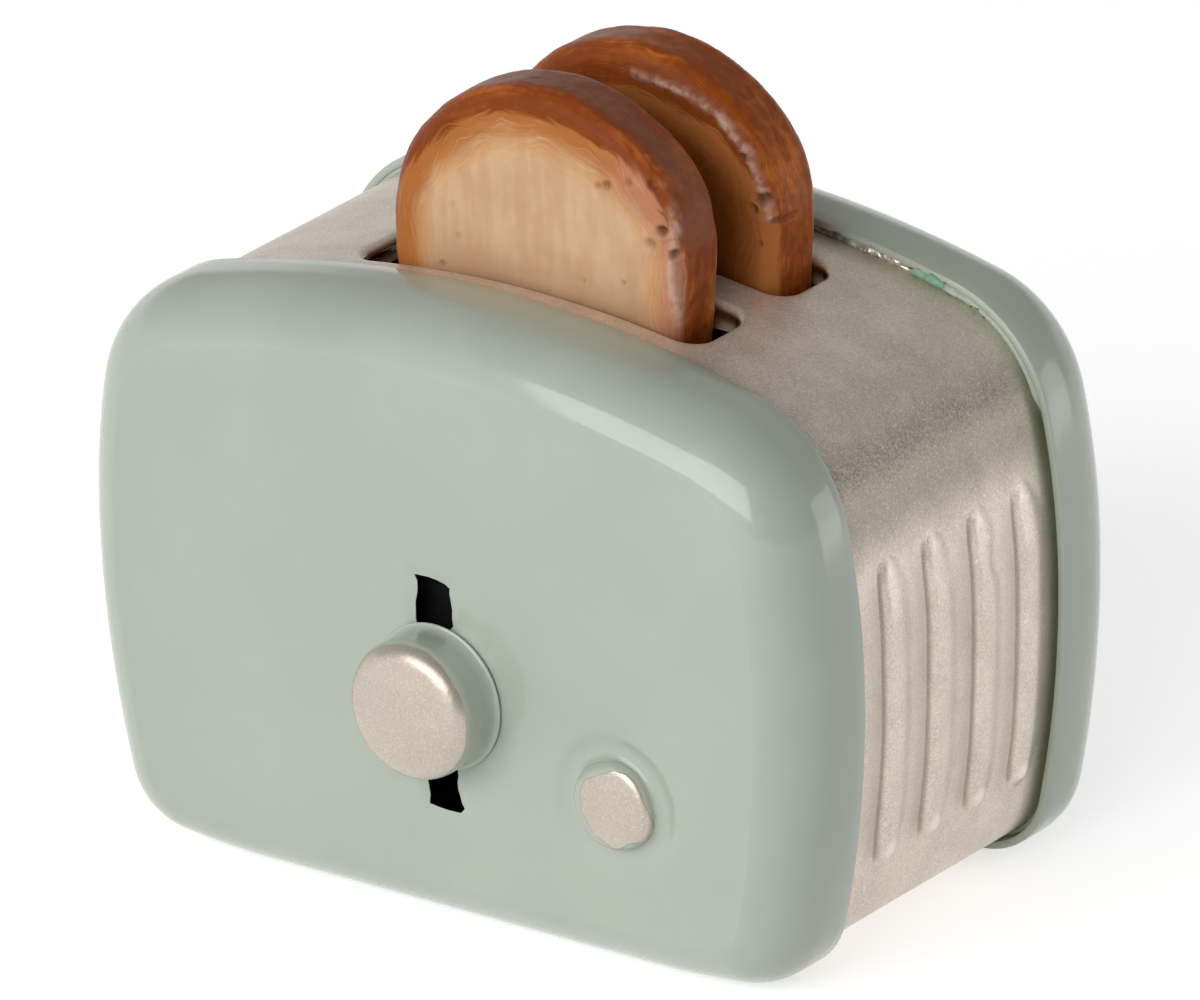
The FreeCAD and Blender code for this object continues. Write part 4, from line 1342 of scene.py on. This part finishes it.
def bread_finish(name, border, glazed, crust_reach, crumb_shade, sheen, seed):
    """Painted bread: crumb, a border of thin glaze strokes, and the crust brushed along its arc."""
    material, shader, place = finish_named(name)
    band, around, ridge, pit = [read_mark(place, mark) for mark in bread_marks]
    x, y, z = apart(place)

    def strokes(across, length, width, detail, shift):
        """Noise whose marks run round the slice, this long and wide in millimetres."""
        at = put(place, "CombineXYZ", {0: times(around, 1 / length), 1: times(across, 1 / width),
                                       2: seed + shift}).outputs[0]
        return mottled(at, 1.0, detail)

    slanted = weighed((band, 1.0), (strokes(band, 1 / 0.3, 4.0, 1.0, 0.0), 2.2))
    hair = minus(strokes(slanted, 4.5, 0.2, 3.0, 5.0), 0.5)
    streak = minus(strokes(slanted, 6.0, 0.6, 3.0, 9.0), 0.5)
    broad = minus(strokes(slanted, 5.0, 1.8, 3.0, 0.0), 0.5)
    drift = minus(mottled(place, 170.0, 2.0), 0.5)
    fine = mottled(place, 1500.0, 3.0)
    mottle = mottled(place, 340.0, 3.0)
    grain = mottled(place, 1100.0, 3.0, (1, 1, 0.16))
    top = faded(z, 45.5 * mm, 51.5 * mm)
    right = faded(x, 6 * mm, 10 * mm)
    left = faded(x, -6 * mm, -10 * mm)

    # Painted shadow: the crumb darkens towards its lower edge.
    crumb = layered(crumb_tan, (faded(weighed((grain, 0.5), (mottle, 0.5)), 0.38, 0.62), crumb_light),
                    (faded(z, 46 * mm, 42 * mm, 0.0, 0.7), crumb_low_shadow), (crumb_shade, shaded_crumb))
    inward = weighed((band, 1 / border), (drift, 0.35), (right, 0.12), (left, -0.45), (top, -0.45))
    glaze_amount = weighed((inward, -1.0), (hair, 1.1), (streak, 1.2), (mottle, 0.3))
    glaze_end = shaded_glaze if crumb_shade else glaze_light
    pale = faded(weighed((hair, 1.0), (inward, 0.12)), 0.08, 0.24, 0.0, 0.28 * (1 - crumb_shade))
    glaze = layered(glaze_deep, (times(right, 1 - crumb_shade), glaze_pink),
                    (faded(weighed((inward, 1.0), (streak, 0.8)), 0.25, 1.0), glaze_end),
                    (pale, glaze_streak))

    crust_base = weighed((broad, 1.1), (streak, 0.9), (drift, 0.8), (fine, 0.4))
    # Painted sheen: a greyish haze over the crust towards the top of the slice.
    hazy = faded(weighed((band, -1.0), (drift, 3.0), (streak, 2.0), (hair, 1.5)), 0.3, 1.9)
    crown = faded(weighed((z, 1.0), (x, 0.35)), 50 * mm, 57 * mm, 0.0, sheen)
    crust = layered(crust_brown, (faded(crust_base, 0.05, 0.6), crust_orange),
                    (faded(hair, -0.1, 0.14, 0.45, 0.0), crust_brown),
                    (times(hazy, crown), crust_sheen),
                    (faded(weighed((band, 1.0), (streak, 1.0)), -0.5, 0.8, 0.0, 0.7), crust_lap),
                    (faded(weighed((fine, 0.6), (grain, 0.4)), 0.4, 0.62, 0.3, 0.0), crust_lap))
    crusted = weighed((band, -1.0), (top, crust_reach), (right, -0.9), (hair, 1.2), (streak, 1.4),
                      (drift, 0.8))
    colour = layered(crumb, (faded(glaze_amount, -1.1, 0.0, glazed, 1.0), glaze),
                     (faded(crusted, -0.45, 0.15), crust),
                     # Painted highlight along the raised ridge at the crust's edge.
                     (times(ridge, faded(fine, 0.36, 0.6, 0.25, 0.85)), ridge_highlight_colour),
                     # Painted shade in the pits.
                     (times(pit, 0.8), pit_shade_brown),
                     (specks(place, 520.0, 1, 0.95, 0.1, 0.03, 0, 0.5), crust_brown))
    stroke_relief = times(weighed((broad, 0.7), (streak, 0.6), (hair, 0.2)), faded(band, 5.0, 3.0))
    relief = weighed((stroke_relief, 1.0), (fine, 0.15))
    feed(shader, {"Base Color": colour, "Roughness": faded(band, -0.5, 1.5, 0.42, 0.55),
                  "Specular IOR Level": 0.1, "Coat Roughness": 0.22,
                  "Coat Weight": faded(band, -0.5, 1.5, 0.07, 0.03),
                  "Normal": bumped(relief, 0.8, 0.2 * mm)})
    return material


front_slice = bread_slice("bread_front", "toast_front", front_pits, front_ridge, 0.32 * mm, 1.0)
fit_out(front_slice, "front_slice", bread_finish("bread_front_paint", 3.3, 0.0, 1.5, 0.0, 0.8, 1.0),
        "painted_bread", "toast_front", smooth_angle=180)
rear_slice = bread_slice("bread_rear", "toast_rear", rear_pits, rear_ridge, 0.3 * mm, 12.0)
fit_out(rear_slice, "rear_slice", bread_finish("bread_rear_paint", 4.6, 0.45, 2.6, 0.9, 0.2, 8.0),
        "painted_bread", "toast_rear", smooth_angle=180)


# ---------- camera
# Long lens from high on the right of the front, level but for a slight roll.
camera_place = Vector((0.76226, -0.99127, 0.55073))
camera_yaw = 0.65432
camera_pitch = 0.39791
camera_roll = -0.03484
camera_lens = 615.3
sensor_width = 36.0

forward = Vector((-math.sin(camera_yaw) * math.cos(camera_pitch),
                  math.cos(camera_yaw) * math.cos(camera_pitch), -math.sin(camera_pitch)))
level_right = Vector((math.cos(camera_yaw), math.sin(camera_yaw), 0))
level_up = level_right.cross(forward)
right = level_right * math.cos(camera_roll) + level_up * math.sin(camera_roll)
up = level_up * math.cos(camera_roll) - level_right * math.sin(camera_roll)
bpy.ops.object.camera_add()
camera = bpy.context.object
camera.data.lens = camera_lens
camera.data.sensor_width = sensor_width
camera.data.clip_end = 10
facing = Matrix((right, up, -forward)).transposed().to_4x4()
camera.matrix_world = Matrix.Translation(camera_place) @ facing
bpy.context.scene.camera = camera


# ---------- floor and lamps
# White table and white horizon under a dimmer room that is darkest on the right, with one
# wide softbox in front and a small white card behind on the right.
floor_glow = 0.58
horizon_light = 1.05
room_light = 0.38
dark_side_light = 0.24
overhead_share = 0.6

bpy.ops.mesh.primitive_plane_add(size=6)
floor = bpy.context.object
floor.name = "floor"
floor_finish, shader, place = finish_named("white_floor")
path = put(place, "LightPath").outputs
seen = calc("MAXIMUM", path["Is Glossy Ray"], path["Is Transmission Ray"], path["Is Camera Ray"])
feed(shader, {"Base Color": (0.88, 0.88, 0.88, 1), "Roughness": 0.9, "Specular IOR Level": 0.0,
              "Emission Color": (1, 1, 1, 1), "Emission Strength": times(seen, floor_glow)})
floor.data.materials.append(floor_finish)


def soft_lamp(name, azimuth, elevation, distance, size, radiance):
    """Rectangular softbox that faces the toaster; azimuth is from the front to the right."""
    turn = math.radians(azimuth)
    lift = math.radians(elevation)
    away = Vector((math.sin(turn) * math.cos(lift), -math.cos(turn) * math.cos(lift),
                   math.sin(lift)))
    bpy.ops.object.light_add(type="AREA", location=Vector((0, 0, 25 * mm)) + away * distance)
    lamp = bpy.context.object
    lamp.name = name
    lamp.data.shape = "RECTANGLE"
    lamp.data.size, lamp.data.size_y = size
    lamp.data.energy = radiance * math.pi * size[0] * size[1]
    lamp.rotation_euler = away.to_track_quat("Z", "Y").to_euler()


soft_lamp("front_softbox", 1, 27, 1.2, (1.33, 0.64), 3.8)
soft_lamp("near_card", 128, 3, 0.20, (0.075, 0.09), 1.7)

world = bpy.data.worlds.new("studio_room")
bpy.context.scene.world = world
world.use_nodes = True
sky = world.node_tree
x, y, rise = apart(put(sky, "TexCoord").outputs["Generated"])
room = times(faded(x, -0.1, 0.6, room_light, dark_side_light),
             faded(rise, 0.6, 0.85, 1.0, overhead_share))
lit = times(faded(rise, math.sin(math.radians(6)), math.sin(math.radians(20)), 1.0, 0.0),
            faded(x, 0.2, 0.6, 1.0, 0.08))
level = plus(times(lit, minus(horizon_light, room)), room)
feed(sky.nodes["Background"], {"Color": (1, 1, 1, 1), "Strength": level})
bpy.context.scene.view_settings.view_transform = "Standard"
